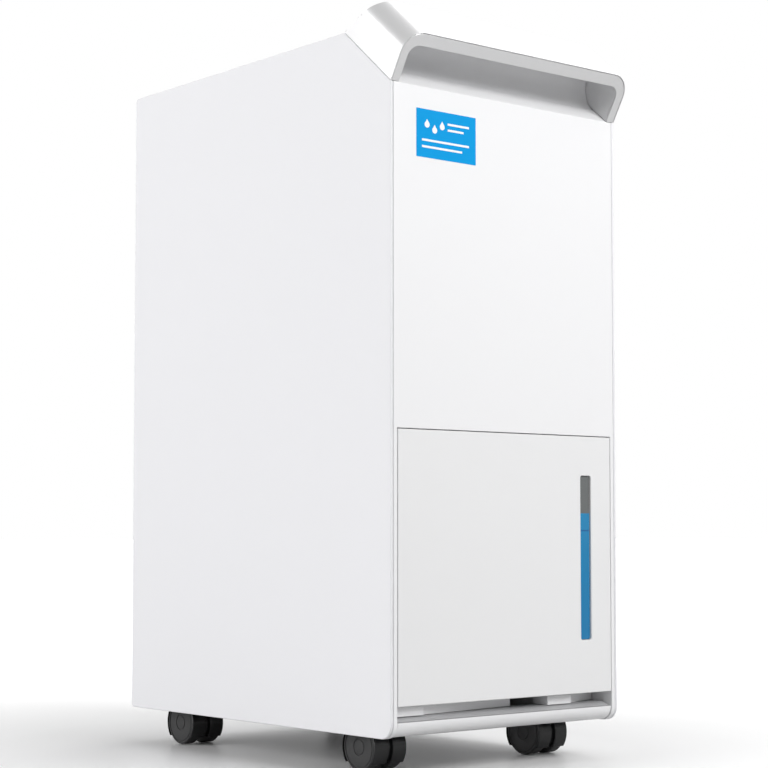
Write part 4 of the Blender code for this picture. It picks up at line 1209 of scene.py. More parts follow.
@dataclass
class Hood:
    """The pearl hood over the finger recess: an arch with a trimmed rim, open to the lower front."""

    measures: Measures
    height: float = 0.0389
    front_set_back: float = 0.0072
    back_set_in: float = 0.0174
    corner: float = 0.017
    roof: float = 0.010
    leg: float = 0.008
    recess_length: float = 0.046
    foot_gap: float = 0.0003
    edge: float = 0.0004
    wall_lip: float = 0.0006
    rim_gap: float = 0.0004
    rim_thickness: float = 0.0018
    floor_start: float = 0.0196
    floor_drop: float = 0.0012
    floor_thickness: float = 0.0024

    def build(self) -> None:
        """Builds the hood with its rim, and the scoop and floor of its recess."""
        piece(self.arch(), "root", Finish.PEARL, ["handle_hood"])
        # The rim takes the darker copy of the pearl white: painted shade.
        piece(self.rim(), "root", Finish.SHADED_PEARL_RIM)
        piece(self.scoop(), "root", Finish.RECESS)
        piece(self.floor(), "root", Finish.RECESS, ["handle_pocket"])

    def outline(self, inset: float, foot: float) -> list[Vector]:
        """The arch's outline across the hood.

        Args:
            inset: How far it is drawn in from the outer wall.
            foot: The height at which its legs end.

        Returns:
            The outline's points.
        """
        x, top, radius = self.measures.half_width - inset, self.height - inset, self.corner - inset
        return round_corners(((-x, foot, 0), (x, foot, 0), (x, top, radius), (-x, top, radius)), steps=16)

    def slanted(
        self, name: str, outline: Sequence[Point], rear: Callable[
            [float], float
        ], front: Callable[[float], float]
    ) -> bpy.types.Object:
        """A prism down the chamfer with slanted ends.

        Args:
            name: The object's name.
            outline: Points of (across, height).
            rear: The rear end's place for each height.
            front: The front end's place for each height.

        Returns:
            The prism, in place.
        """
        made = prism(name, outline, 2, Matrix.Identity(4))
        for vertex in made.data.vertices:
            vertex.co.z = (front if vertex.co.z > 0 else rear)(vertex.co.y)
        made.data.transform(self.measures.chamfer_axes())
        return made

    def front_end(self, height: float) -> float:
        """Where the rim is at this height."""
        return -self.front_set_back * height / self.height

    def rear_end(self, height: float) -> float:
        """Where the hood's back is at this height."""
        return -self.measures.chamfer_length + self.back_set_in * height / self.height

    def recess(self) -> bpy.types.Object:
        """A cutter for the finger recess."""
        x, top = self.measures.half_width - self.leg, self.height - self.roof
        radius = self.corner - self.leg
        outline = round_corners(
            ((-x, -0.01, 0), (x, -0.01, 0), (x, top, radius), (-x, top, radius)), steps=12
        )
        return self.slanted("recess", outline, lambda height: -self.recess_length, lambda height: 0.02)

    def arch(self) -> bpy.types.Object:
        """The hood itself: its front is sunk within a thin lip, where the rim sits."""
        hood = self.slanted("hood", self.outline(0, self.foot_gap), self.rear_end, self.front_end)
        deep = self.rim_thickness + 0.0002
        seat = self.slanted(
            "rim_seat",
            self.outline(self.wall_lip, -0.01),
            lambda height: self.front_end(height) - deep,
            lambda height: 0.02,
        )
        return eased(cut(hood, self.recess(), seat), self.edge / 2, 2)

    def rim(self) -> bpy.types.Object:
        """The smooth rim in the hood's front, in a darker copy of the pearl white: painted shade."""
        rim = self.slanted(
            "hood_rim",
            self.outline(self.wall_lip + self.rim_gap, self.foot_gap),
            lambda height: self.front_end(height) - self.rim_thickness,
            lambda height: self.front_end(height) - 0.0001,
        )
        return eased(cut(rim, self.recess()), self.edge)

    def scoop(self) -> bpy.types.Object:
        """The hollow curve from the lip up to the recess's ceiling."""
        m = self.measures
        steps, clear = 24, 0.0003
        x, start, top = m.half_width - self.leg - clear, self.floor_start, self.height - self.roof - clear
        reach, foot = self.recess_length - clear - 0.0012 - start, -0.0004
        curve = [
            (-start - reach * math.sin(t), top - (top - foot) * math.cos(t))
            for t in (math.radians(90 * i / steps) for i in range(steps + 1))
        ]
        under = clear - self.floor_drop
        back = clear - self.recess_length
        outline = [(-start, under), *curve, (back, top), (back, under)]
        turn = Matrix(((0, 0, 1, 0), (0, 1, 0, 0), (1, 0, 0, 0), (0, 0, 0, 1)))
        return smoothed(prism("recess_scoop", outline, 2 * x, m.chamfer_axes() @ turn))

    def floor(self) -> bpy.types.Object:
        """The sloping floor under the recess."""
        m = self.measures
        start, thickness = self.floor_start, self.floor_thickness
        turn = Matrix(
            ((1, 0, 0, 0), (0, 0, -1, -self.floor_drop - thickness / 2), (0, 1, 0, 0), (0, 0, 0, 1))
        )
        far = 0.004 - m.chamfer_length
        outline = ((-m.inside, -start), (-m.inside, far), (m.inside, far), (m.inside, -start))
        return eased(prism("recess_floor", outline, thickness, m.chamfer_axes() @ turn), 0.0004)


@dataclass
class TopDeck:
    """The flat top with its openings, and the louvred grille over the outlet."""

    measures: Measures
    thickness: float = 0.003
    slats: int = 11
    columns: int = 3
    rib: float = 0.003
    rim: float = 0.0045
    edge: float = 0.0006

    def build(self) -> None:
        """Builds the cover and the grille."""
        piece(self.cover(), "root", Finish.FRONT_WHITE, ["top_cover"])
        piece(self.grille(), "root", Finish.FRONT_WHITE, ["outlet_grille"])

    def cover(self) -> bpy.types.Object:
        """The top cover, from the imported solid, with eased edges."""
        return eased(copy_of("top_cover"), self.edge)

    def grille(self) -> bpy.types.Object:
        """The outlet grille: a rim with ribs, and tilted slats between them."""
        low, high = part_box("outlet_grille")
        inner_low = Vector((low.x + self.rim, low.y + self.rim, low.z - 0.01))
        inner_high = Vector((high.x - self.rim, high.y - self.rim, high.z + 0.01))
        rim = cut(block("outlet_rim", low, high), block("outlet_inside", inner_low, inner_high))
        wide = (inner_high.x - inner_low.x - (self.columns - 1) * self.rib) / self.columns
        ribs = [
            ((x - self.rib, inner_low.y - 0.001, low.z), (x, inner_high.y + 0.001, high.z - 0.0004))
            for x in (inner_low.x + i * (wide + self.rib) for i in range(1, self.columns))
        ]
        pitch = (inner_high.y - inner_low.y) / self.slats
        first = Vector((inner_low.x - 0.0005, inner_low.y + pitch / 2, (low.z + high.z) / 2))
        middle = first + Vector((wide / 2, 0, 0))
        unit = slat("outlet_slat", (0.0029, 0.0006, 0.0005), 28, wide + 0.001, middle)
        slats = Arrays.grid.applied(
            unit,
            Finish.FRONT_WHITE,
            Columns=self.columns,
            Column_Step=(wide + self.rib, 0.0, 0.0),
            Rows=self.slats,
            Row_Step=(0.0, pitch, 0.0),
        )
        return together(
            "outlet_louvres", eased(joined(rim, blocks("outlet_ribs", ribs)), 0.0004), smoothed(slats)
        )


# ---- The controls on top -------------------------------------------------------------------------


class Icon(Enum):
    """The plain signs printed on the buttons."""

    POWER = "power_button"
    MODE = "mode_button"
    DOWN = "down_button"
    UP = "up_button"
    TIMER = "timer_button"


@dataclass
class ControlPanel:
    """The gloss panel with its display and its five push buttons."""

    measures: Measures
    print_height: float = 0.00008
    line: float = 0.0005
    digit_height: float = 0.0125
    digit_width: float = 0.0066
    segment: float = 0.0013

    def build(self) -> None:
        """Builds the panel, the display and the buttons."""
        panel = eased(copy_of("control_panel"), 0.0004)
        piece(panel, "root", Finish.PANEL_BLACK, ["control_panel"])
        self.display()
        for icon in Icon:
            self.button(icon)

    def display(self) -> None:
        """Builds the lens, and the two figures that shine through it."""
        low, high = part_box("display_lens")
        piece(
            eased(block("display_glass", low, high), 0.0003),
            "root",
            Finish.LENS,
            ["display_lens"],
        )
        middle = (low + high) / 2
        bars = []
        for digit in (-1, 1):
            centre = Vector((middle.x + digit * self.digit_width * 0.8, middle.y))
            bars += self.figure(centre, high.z)
        figures = blocks("display_figures", bars)
        piece(figures, "root", Finish.GLOW)

    def figure(self, centre: Vector, z: float) -> list[tuple[Point, Point]]:
        """The lit segments of one figure 5, as boxes just over the lens.

        Args:
            centre: The figure's middle, in (x, y).
            z: The lens's top.

        Returns:
            The (low, high) corners of each segment.
        """
        w, h, s, thin = self.digit_width / 2, self.digit_height / 2, self.segment / 2, self.print_height
        gap = s * 0.4
        rows = [(-w + gap, -s + y, w - gap, s + y) for y in (-h, 0, h)]
        rows += [(-w - s, gap + s, -w + s, h - s - gap), (w - s, -h + s + gap, w + s, -gap - s)]
        x, y = centre
        return [((x + x0, y + y0, z), (x + x1, y + y1, z + thin)) for x0, y0, x1, y1 in rows]

    def button(self, icon: Icon) -> None:
        """Builds one button: a dished cap on a flanged stem, with its sign.

        Args:
            icon: Which button.
        """
        low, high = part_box(icon.value)
        middle = (low + high) / 2
        flange = (high.x - low.x) / 2
        radius = flange - 0.0012
        tall = high.z - low.z
        fillet = 0.0007
        profile = [(0, 0), (flange, 0), (flange, 0.002), (radius, 0.002), (radius, tall - fillet)]
        profile += [
            (radius - fillet + fillet * math.cos(a), tall - fillet + fillet * math.sin(a))
            for a in (math.radians(18 * i) for i in range(1, 6))
        ]
        dish, steps = 0.0004, 6
        shares = (1 - i / steps for i in range(1, steps + 1))
        profile += [((radius - fillet) * share, tall - dish * (1 - share**2)) for share in shares]
        cap = smoothed(turned(f"{icon.value}_cap", profile, (middle.x, middle.y, low.z), (0, 0, 1)))
        piece(cap, icon.value, Finish.BUTTON, [icon.value])
        sign = self.sign(icon, Vector((middle.x, middle.y, high.z - dish - 0.0001)))
        piece(sign, icon.value, Finish.PRINT_GREY)

    def sign(self, icon: Icon, foot: Vector) -> bpy.types.Object:
        """The button's sign, a thin raised print in its dish.

        Args:
            icon: Which sign.
            foot: The middle of the sign's underside.

        Returns:
            The sign.
        """
        size, line, tall = 0.0022, self.line / 2, 0.0001 + self.print_height * 2

        def bar(x0: float, y0: float, x1: float, y1: float) -> tuple[Point, Point]:
            return (foot.x + x0, foot.y + y0, foot.z), (foot.x + x1, foot.y + y1, foot.z + tall)

        level_bar = bar(-size, -line, size, line)
        match icon:
            case Icon.DOWN:
                return blocks(f"{icon.value}_sign", [level_bar])
            case Icon.UP:
                return joined(
                    block(f"{icon.value}_sign", *level_bar), block("stroke", *bar(-line, -size, line, size))
                )
            case Icon.MODE:
                rows = [bar(-size, y - line, size, y + line) for y in (-size * 0.7, 0, size * 0.7)]
                return blocks(f"{icon.value}_sign", rows)
            case Icon.POWER:
                gap = block("ring_gap", *bar(-2 * line - 0.0003, 0.001, 2 * line + 0.0003, 0.004))
                ring = cut(self.ring(f"{icon.value}_sign", foot, size, tall), gap)
                return together(
                    f"{icon.value}_sign", ring, block("stroke", *bar(-line, 0.0004, line, size * 1.15))
                )
            case Icon.TIMER:
                ring = self.ring(f"{icon.value}_sign", foot, size, tall)
                hands = [bar(-line, -line, line, size * 0.7), bar(line, -line, size * 0.55, line)]
                return together(f"{icon.value}_sign", ring, blocks("hands", hands))

    def ring(self, name: str, foot: Vector, radius: float, tall: float) -> bpy.types.Object:
        """A thin printed ring."""
        inner, outer = radius - self.line / 2, radius + self.line / 2
        profile = ((inner, 0), (outer, 0), (outer, tall), (inner, tall), (inner, 0))
        return turned(name, profile, foot, (0, 0, 1), 40)


# ---- The back ------------------------------------------------------------------------------------


@dataclass
class RearShell:
    """The back cover with its screws, the pull-out inlet grille with its net, the gland and the drain."""

    measures: Measures
    edge: float = 0.0007
    slats: int = 22
    rim: float = 0.008
    net_pitch: float = 0.0032
    wire: float = 0.00025
    screw_radius: float = 0.0034
    screw_x: float = 0.1035

    def build(self) -> None:
        """Builds everything on the back."""
        self.cover()
        self.grille()
        self.net()
        self.gland()
        self.drain()

    def cover(self) -> None:
        """Builds the cover, and the screws sunk in it."""
        low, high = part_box("rear_cover")
        rows, first = 4, low.z + 0.035
        step = (high.z - 0.030 - first) / (rows - 1)
        sink = 0.0019
        heights = [first + row * step for row in range(rows)]
        wells = [
            rod("screw_well", (x, high.y - sink, z), (x, high.y + 0.01, z), self.screw_radius + 0.0007, 32)
            for x in (-self.screw_x, self.screw_x)
            for z in heights
        ]
        piece(
            eased(cut(copy_of("rear_cover"), *wells), self.edge),
            "root",
            Finish.SIDE_WHITE,
            ["rear_cover"],
        )
        head = screw_head(
            "cover_screws", (-self.screw_x, high.y - sink, first), (0, 1, 0), self.screw_radius
        )
        screws = Arrays.grid.applied(
            head,
            Finish.SCREW,
            Columns=2,
            Column_Step=(2 * self.screw_x, 0.0, 0.0),
            Rows=rows,
            Row_Step=(0.0, 0.0, step),
        )
        piece(screws, "root", Finish.SCREW)

    def grille(self) -> None:
        """Builds the inlet grille: a rim with a middle rib and a finger pull, and tilted slats."""
        low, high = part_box("filter_frame")
        rim, rib, head = self.rim, 0.004, 0.026
        inner_low = Vector((low.x + rim, low.y - 0.01, low.z + rim))
        inner_high = Vector((high.x - rim, high.y + 0.01, high.z - head))
        frame_body = cut(block("inlet_frame", low, high), block("inlet_inside", inner_low, inner_high))
        middle_rib = block(
            "inlet_rib",
            (-rib / 2, low.y, inner_low.z - 0.001),
            (rib / 2, high.y - 0.0006, inner_high.z + 0.001),
        )
        pull = prism(
            "finger_pull",
            round_corners(
                ((-0.024, high.z - 0.020, 0.005), (0.024, high.z - 0.020, 0.005),
                 (0.024, high.z - 0.007, 0.005), (-0.024, high.z - 0.007, 0.005))
            ),
            0.005,
            facing(high.y),
        )
        frame_body = eased(cut(joined(frame_body, middle_rib), pull), 0.0005)
        wide = (inner_high.x - inner_low.x - rib) / 2
        pitch = (inner_high.z - inner_low.z) / self.slats
        first = Vector((inner_low.x + wide / 2, (low.y + high.y) / 2, inner_low.z + pitch / 2))
        unit = slat("inlet_slat", (0.0023, 0.0007, 0.0006), -24, wide + 0.001, first)
        slats = Arrays.grid.applied(
            unit,
            Finish.FRONT_WHITE,
            Columns=2,
            Column_Step=(wide + rib, 0.0, 0.0),
            Rows=self.slats,
            Row_Step=(0.0, 0.0, pitch),
        )
        grille = together("inlet_grille", frame_body, smoothed(slats))
        piece(grille, "filter", Finish.FRONT_WHITE, ["filter_frame"])

    def net(self) -> None:
        """Builds the dust net: a thin rim with wires both ways."""
        low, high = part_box("filter_net")
        rim, wire = 0.0035, self.wire
        inner_low = Vector((low.x + rim, low.y - 0.01, low.z + rim))
        inner_high = Vector((high.x - rim, high.y + 0.01, high.z - rim))
        border = eased(
            cut(block("net_border", low, high), block("net_inside", inner_low, inner_high)), 0.0004
        )
        across, up = inner_high.x - inner_low.x, inner_high.z - inner_low.z
        columns, rows = round(across / self.net_pitch), round(up / self.net_pitch)
        y = (low.y + high.y) / 2
        upright_wire = block(
            "upright_wire",
            (inner_low.x + across / (2 * columns) - wire, y, inner_low.z - 0.001),
            (inner_low.x + across / (2 * columns) + wire, y + 2 * wire, inner_high.z + 0.001),
        )
        level_wire = block(
            "level_wire",
            (inner_low.x - 0.001, y - 2 * wire, inner_low.z + up / (2 * rows) - wire),
            (inner_high.x + 0.001, y, inner_low.z + up / (2 * rows) + wire),
        )
        step_x, step_z = (across / columns, 0.0, 0.0), (0.0, 0.0, up / rows)
        uprights = Arrays.grid.applied(
            upright_wire, Finish.NET, Columns=columns, Column_Step=step_x, Rows=1, Row_Step=step_z
        )
        levels = Arrays.grid.applied(
            level_wire, Finish.NET, Columns=1, Column_Step=step_x, Rows=rows, Row_Step=step_z
        )
        piece(together("dust_net", border, uprights, levels), "filter", Finish.NET, ["filter_net"])

    def gland(self) -> None:
        """Builds the bush of the mains lead, with its collar."""
        low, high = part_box("cord_gland")
        middle, radius, bore, tall = (low + high) / 2, 0.0082, 0.0038, high.y - low.y
        collar = (high.x - low.x) / 2
        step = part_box("rear_cover")[1].y - 0.0025 - 0.0003 - low.y
        profile = [(bore, 0), (collar, 0), (collar, step), (radius, step), (radius, tall - 0.0008)]
        profile += [(radius - 0.0008, tall), (bore + 0.0016, tall), (bore, tall - 0.0016), (bore, 0)]
        bush = smoothed(turned("lead_bush", profile, (middle.x, low.y, middle.z), (0, 1, 0)))
        piece(bush, "root", Finish.BLACK, ["cord_gland"])

    def drain(self) -> None:
        """Builds the drain spigot and the plug in it."""
        low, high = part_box("drain_spigot")
        middle, tall = (low + high) / 2, high.y - low.y
        outer, bore, flange = 0.0115, 0.0085, (high.x - low.x) / 2
        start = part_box("rear_cover")[1].y - 0.0065 - low.y
        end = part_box("rear_cover")[1].y - 0.0025 - 0.0003 - low.y
        profile = [(bore, 0), (outer, 0), (outer, start), (flange, start), (flange, end), (outer, end)]
        profile += [
            (outer, tall - 0.0006),
            (outer - 0.0006, tall),
            (bore + 0.0005, tall),
            (bore, tall - 0.0005),
            (bore, 0),
        ]
        spigot = smoothed(turned("drain_outlet", profile, (middle.x, low.y, middle.z), (0, 1, 0)))
        piece(spigot, "root", Finish.SIDE_WHITE, ["drain_spigot"])
        plug = eased(copy_of("drain_plug"), 0.0004)
        piece(plug, "plug", Finish.BLACK, ["drain_plug"])


# ---- The floor of the casing and the casters -----------------------------------------------------


@dataclass
class Base:
    """The chassis floor with its caster wells, and the screws under it."""

    measures: Measures
    edge: float = 0.0006

    def build(self) -> None:
        """Builds the floor and its screws."""
        pan = eased(copy_of("base_pan"), self.edge)
        piece(pan, "root", Finish.CHASSIS, ["base_pan"])
        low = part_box("base_pan")[0]
        reach_x, reach_y = 0.046, 0.150
        head = screw_head("chassis_screws", (-reach_x, -reach_y + 0.03, low.z + 0.0004), (0, 0, -1), 0.0032)
        screws = Arrays.grid.applied(
            head,
            Finish.SCREW,
            Columns=3,
            Column_Step=(reach_x, 0.0, 0.0),
            Rows=2,
            Row_Step=(0.0, 2 * reach_y - 0.04, 0.0),
        )
        piece(screws, "root", Finish.SCREW)


@dataclass
class Caster:
    """A swivel caster: a hooded fender on its stem, and two wheels on one axle."""

    label: str
    fender_radius: float = 0.0198
    fender_half_width: float = 0.0155
    wheel_radius: float = 0.018
    inner_face: float = 0.0043
    outer_face: float = 0.0152
    tread: float = 0.0013
    ground_gap: float = 0.0062
    waist: float = 0.0026
    stem_radius: float = 0.004
    collar_radius: float = 0.009

    def build(self) -> None:
        """Builds the fender and both wheels."""
        piece(
            self.fender(),
            f"caster_{self.label}",
            Finish.BLACK,
            [f"caster_fender_{self.label}"],
        )
        for side, word in ((-1, "a"), (1, "b")):
            wheel = self.wheel(side, word)
            node = f"caster_wheel_{self.label}_{word}"
            piece(wheel, f"wheel_{self.label}_{word}", Finish.WHEEL, [node])

    @property
    def axle(self) -> Vector:
        """The middle of the axle."""
        low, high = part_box(f"caster_axle_{self.label}")
        return (low + high) / 2

    def fender(self) -> bpy.types.Object:
        """The fender: a web between the wheels and a rounded skin over them, cut off above the floor."""
        centre, r, half, round_off = self.axle, self.fender_radius, self.fender_half_width, 0.0010
        stem_low, stem_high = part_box(f"caster_fender_{self.label}")
        swivel = Vector((stem_low.x + stem_high.x, 0, 0)) / 2
        swivel.y = centre.y - 0.005
        arc = [math.radians(15 * i) for i in range(7)]
        left = [
            (r - round_off + round_off * math.sin(a), -half + round_off - round_off * math.cos(a))
            for a in arc
        ]
        left += [(r, -0.0030), (r - 0.0006, -0.0024), (r - self.waist, -0.0020)]
        right = [(radius, -run) for radius, run in reversed(left)]
        hood = turned(f"fender_{self.label}", [(0, -half), *left, *right, (0, half)], centre, (1, 0, 0), 96)
        parts = [
            rod(
                "stem",
                (swivel.x, swivel.y, centre.z + 0.008),
                (swivel.x, swivel.y, stem_high.z),
                self.stem_radius,
                32,
            ),
            rod(
                "collar",
                (swivel.x, swivel.y, centre.z + 0.016),
                (swivel.x, swivel.y, 0.0396),
                self.collar_radius,
                48,
            ),
        ]
        hood = joined(hood, *parts)
        spaces = []
        for side in (-1, 1):
            inner, outer = centre.x + side * (self.inner_face - 0.0003), centre.x + side * (half + 0.01)
            spaces.append(rod("wheel_space", (inner, centre.y, centre.z), (outer, centre.y, centre.z),
                              self.wheel_radius + 0.0006, 96))
        below = block(
            "below",
            centre - Vector((0.03, 0.03, 0.03)),
            centre + Vector((0.03, 0.03, self.ground_gap - 0.018)),
        )
        bore = rod("bore", centre - Vector((0.01, 0, 0)), centre + Vector((0.01, 0, 0)), 0.0026, 24)
        return eased(cut(hood, *spaces, below, bore), 0.0003, 2)

    def wheel(self, side: int, word: str) -> bpy.types.Object:
        """One wheel: a rounded tread, and a dished disc with a hub cap.

        Args:
            side: -1 for the wheel towards -X, 1 for the other.
            word: The wheel's letter.

        Returns:
            The wheel.
        """
        r, t, inner, outer = self.wheel_radius, self.tread, self.inner_face, self.outer_face
        arc = [math.radians(18 * i) for i in range(6)]
        profile = [(0, 0.0138), (0.0026, 0.0138), (0.0026, inner)]
        profile += [(r - t + t * math.sin(a), inner + t - t * math.cos(a)) for a in arc]
        profile += [(r - t + t * math.cos(a), outer - t + t * math.sin(a)) for a in arc]
        profile += [
            (0.0163, outer - 0.0001),
            (0.0160, outer - 0.0008),
            (0.0155, outer - 0.0008),
            (0.0152, outer - 0.0003),
        ]
        profile += [
            (0.0110, outer - 0.00005),
            (0.0066, outer - 0.0003),
            (0.0063, outer - 0.0008),
            (0.0058, outer - 0.0008),
        ]
        profile += [(0.0055, outer - 0.0003), (0.0030, outer - 0.00005), (0, outer)]
        return smoothed(turned(f"wheel_{self.label}_{word}", profile, self.axle, (side, 0, 0), 96))


# ---- The bucket and its bay ----------------------------------------------------------------------


@dataclass
class Bucket:
    """The pull-out bucket: its face with the level window, the tub, the lid, the bail and the float."""

    measures: Measures
    edge: float = 0.0006
    wall: float = 0.0022
    corner: float = 0.012
    window_corner: float = 0.0018
    lid_thickness: float = 0.0025
    ear_half: float = 0.0025
    bail_radius: float = 0.003
    grip_radius: float = 0.0042

    def build(self) -> None:
        """Builds every piece of the bucket."""
        self.face()
        self.window()
        self.tub()
        self.lid()
        self.bail()
        self.floater()

    def face(self) -> None:
        """Builds the face, ribbed behind, with the slot for the window."""
        low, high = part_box("bucket_front")
        thick, rim = 0.003, 0.0025
        body = block("bucket_face", low, high)
        hollow = block(
            "behind_the_face", (low.x + rim, low.y + thick, low.z - 0.01), (
                high.x - rim, high.y + 0.01, high.z - rim
            )
        )
        body = cut(body, hollow, prism("window_slot", self.window_outline(-0.0003), 0.02, facing(low.y)))
        body = eased(body, self.edge)
        rib = block(
            "face_rib", (
                low.x + 0.020, low.y + thick - 0.0004, low.z + 0.002
            ), (low.x + 0.0212, high.y - 0.001, high.z - rim)
        )
        ribs = Arrays.grid.applied(
            rib, Finish.FRONT_WHITE, Columns=8, Column_Step=(
                0.0215, 0.0, 0.0
            ), Rows=1, Row_Step=(0.0, 0.0, 0.0)
        )
        piece(
            together("bucket_face", body, ribs),
            "bucket",
            Finish.FACE_WHITE,
            ["bucket_front"],
        )

    def window_outline(self, inset: float) -> list[Vector]:
        """The window's outline in (x, height), drawn in by an inset."""
        low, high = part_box("level_window")
        r = self.window_corner
        left, right, foot, head = low.x + inset, high.x - inset, low.z + inset, high.z - inset
        return round_corners(
            ((left, foot, r), (right, foot, r), (right, head, r), (left, head, r)), steps=6
        )

    def window(self) -> None:
        """Builds the tinted bar through which the water shows."""
        low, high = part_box("level_window")
        bar = prism("level_bar", self.window_outline(0), high.y - low.y, facing((low.y + high.y) / 2))
        tub_low, tub_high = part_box("bucket_tub")
        height = tub_high.z - tub_low.z
        glass = LevelGlass("level window", tub_low.z + 0.925 * height, tub_low.z + 0.835 * height)
        piece(eased(bar, 0.0004), "bucket", glass.build(), ["level_window"])

    def tub_outline(self, inset: float) -> list[Vector]:
        """The tub's outline in (x, y), drawn in by an inset."""
        low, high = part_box("bucket_tub")
        x, near, far, r = high.x - inset, low.y + inset, high.y - inset, self.corner - inset
        return round_corners(((-x, near, r), (x, near, r), (x, far, r), (-x, far, r)), steps=10)

    def tub(self) -> None:
        """Builds the milky tub, with a rounded floor edge, and the lugs of the float's pin."""
        low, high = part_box("bucket_tub")
        middle, tall = (low.z + high.z) / 2, high.z - low.z
        tub = eased(prism("water_tub", self.tub_outline(0), tall, level(middle)), 0.0030, 4)
        tub = cut(tub, prism("tub_inside", self.tub_outline(self.wall), tall, level(middle + self.wall)))
        pin = self.pin_place()
        lugs = [
            block(
                f"lug_{x}",
                (x - 0.0015, high.y - 0.016, pin.z - 0.006),
                (x + 0.0015, high.y - 0.001, pin.z + 0.006),
            )
            for x in (pin.x - 0.012, pin.x + 0.012)
        ]
        hole = rod("pin_hole", pin - Vector((0.018, 0, 0)), pin + Vector((0.018, 0, 0)), 0.0025, 24)
        piece(
            eased(cut(joined(tub, *lugs), hole), 0.0004, 2),
            "bucket",
            Finish.TUB,
            ["bucket_tub"],
        )

    def pin_place(self) -> Vector:
        """The middle of the float's pin."""
        low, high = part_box("bucket_float")
        return Vector(((low.x + high.x) / 2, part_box("bucket_tub")[1].y - 0.011, high.z - 0.0022))

    def lid(self) -> None:
        """Builds the lid with its drip opening and the bail's ears."""
        low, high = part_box("bucket_lid")
        thick = self.lid_thickness
        plate = eased(prism("tub_lid", self.tub_outline(0.0006), thick, level(low.z + thick / 2)), 0.0008)
        bail_low, bail_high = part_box("bucket_handle")
        axis_y, axis_z = bail_low.y + self.bail_radius, (bail_low.z + bail_high.z) / 2
        ears = [
            prism(
                f"ear_{side}",
                round_corners(
                    ((axis_y - 0.006, low.z + 0.001, 0), (axis_y + 0.006, low.z + 0.001, 0),
                     (axis_y + 0.006, high.z, 0.0045), (axis_y - 0.006, high.z, 0.0045))
                ),
                2 * self.ear_half,
                Matrix(((0, 0, 1, side * 0.070), (1, 0, 0, 0), (0, 1, 0, 0), (0, 0, 0, 1))),
            )
            for side in (-1, 1)
        ]
        hole = rod(
            "bail_hole", (-0.1, axis_y, axis_z), (0.1, axis_y, axis_z), self.bail_radius + 0.0004, 32
        )
        start = self.measures.at(0.128)
        opening = prism(
            "drip_opening",
            round_corners(
                (
                    (-0.030, start, 0.004),
                    (0.030, start, 0.004),
                    (0.030, start + 0.026, 0.004),
                    (-0.030, start + 0.026, 0.004),
                )
            ),
            0.03,
            level(low.z),
        )
        lid = eased(cut(joined(plate, *ears), hole, opening), 0.0003, 2)
        piece(lid, "bucket", Finish.TUB, ["bucket_lid"])

    def bail(self) -> None:
        """Builds the bail, a bent bar with a grip."""
        low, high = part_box("bucket_handle")
        r = self.bail_radius
        z, near, far = (low.z + high.z) / 2, low.y + r, high.y - r
        outer = high.x
        inner = outer - 0.0115
        corners = [
            (-outer, near), (-inner, near), (-inner, far), (inner, far), (inner, near), (outer, near)
        ]
        path = bend([(x, y, z) for x, y in corners], r + 0.0005)
        piece(
            smoothed(tube("bail", path, r)),
            "bucket_bail",
            Finish.INNER_GREY,
            ["bucket_handle"],
        )
        half, g = 0.040, self.grip_radius
        profile = [(r - 0.0001, -half), (g - 0.0008, -half), (g, -half + 0.001)]
        count = 16
        for i in range(count + 1):
            run = -half + 0.004 + (2 * half - 0.008) * i / count
            profile += [
                (g, run - 0.0012), (g - 0.0004, run - 0.0006), (g - 0.0004, run + 0.0006), (g, run + 0.0012)
            ]
        profile += [(g, half - 0.001), (g - 0.0008, half), (r - 0.0001, half), (r - 0.0001, -half)]
        grip = smoothed(turned("bail_grip", profile, (0, far, z), (1, 0, 0), 48))
        piece(grip, "bucket_bail", Finish.BLACK)

    def floater(self) -> None:
        """Builds the foam float, and the arm and pin that carry it."""
        low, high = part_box("bucket_float")
        pin = self.pin_place()
        foam_far = self.measures.at(0.108)
        foam = eased(block("float_foam", low, (high.x, foam_far, low.z + 0.024)), 0.003, 5)
        piece(foam, "float", Finish.FOAM, ["bucket_float"])
        y = foam_far
        section = (
            (y - 0.012, low.z + 0.0242), (y - 0.010, low.z + 0.0215), (pin.y - 0.002, pin.z - 0.003), (
                pin.y + 0.001, pin.z + 0.0022
            ),
            (pin.y - 0.004, pin.z + 0.0022), (y - 0.018, low.z + 0.0275),
        )
        place = Matrix(((0, 0, 1, pin.x), (1, 0, 0, 0), (0, 1, 0, 0), (0, 0, 0, 1)))
        arm = prism("float_arm", section, 0.017, place)
        axle = rod("float_pin", pin - Vector((0.015, 0, 0)), pin + Vector((0.015, 0, 0)), 0.002, 32)
        plate = block(
            "float_plate",
            (pin.x - 0.0085, y - 0.040, low.z + 0.0238),
            (pin.x + 0.0085, y - 0.009, low.z + 0.0262),
        )
        piece(eased(joined(arm, axle, plate), 0.0003, 2), "float", Finish.INNER_GREY)


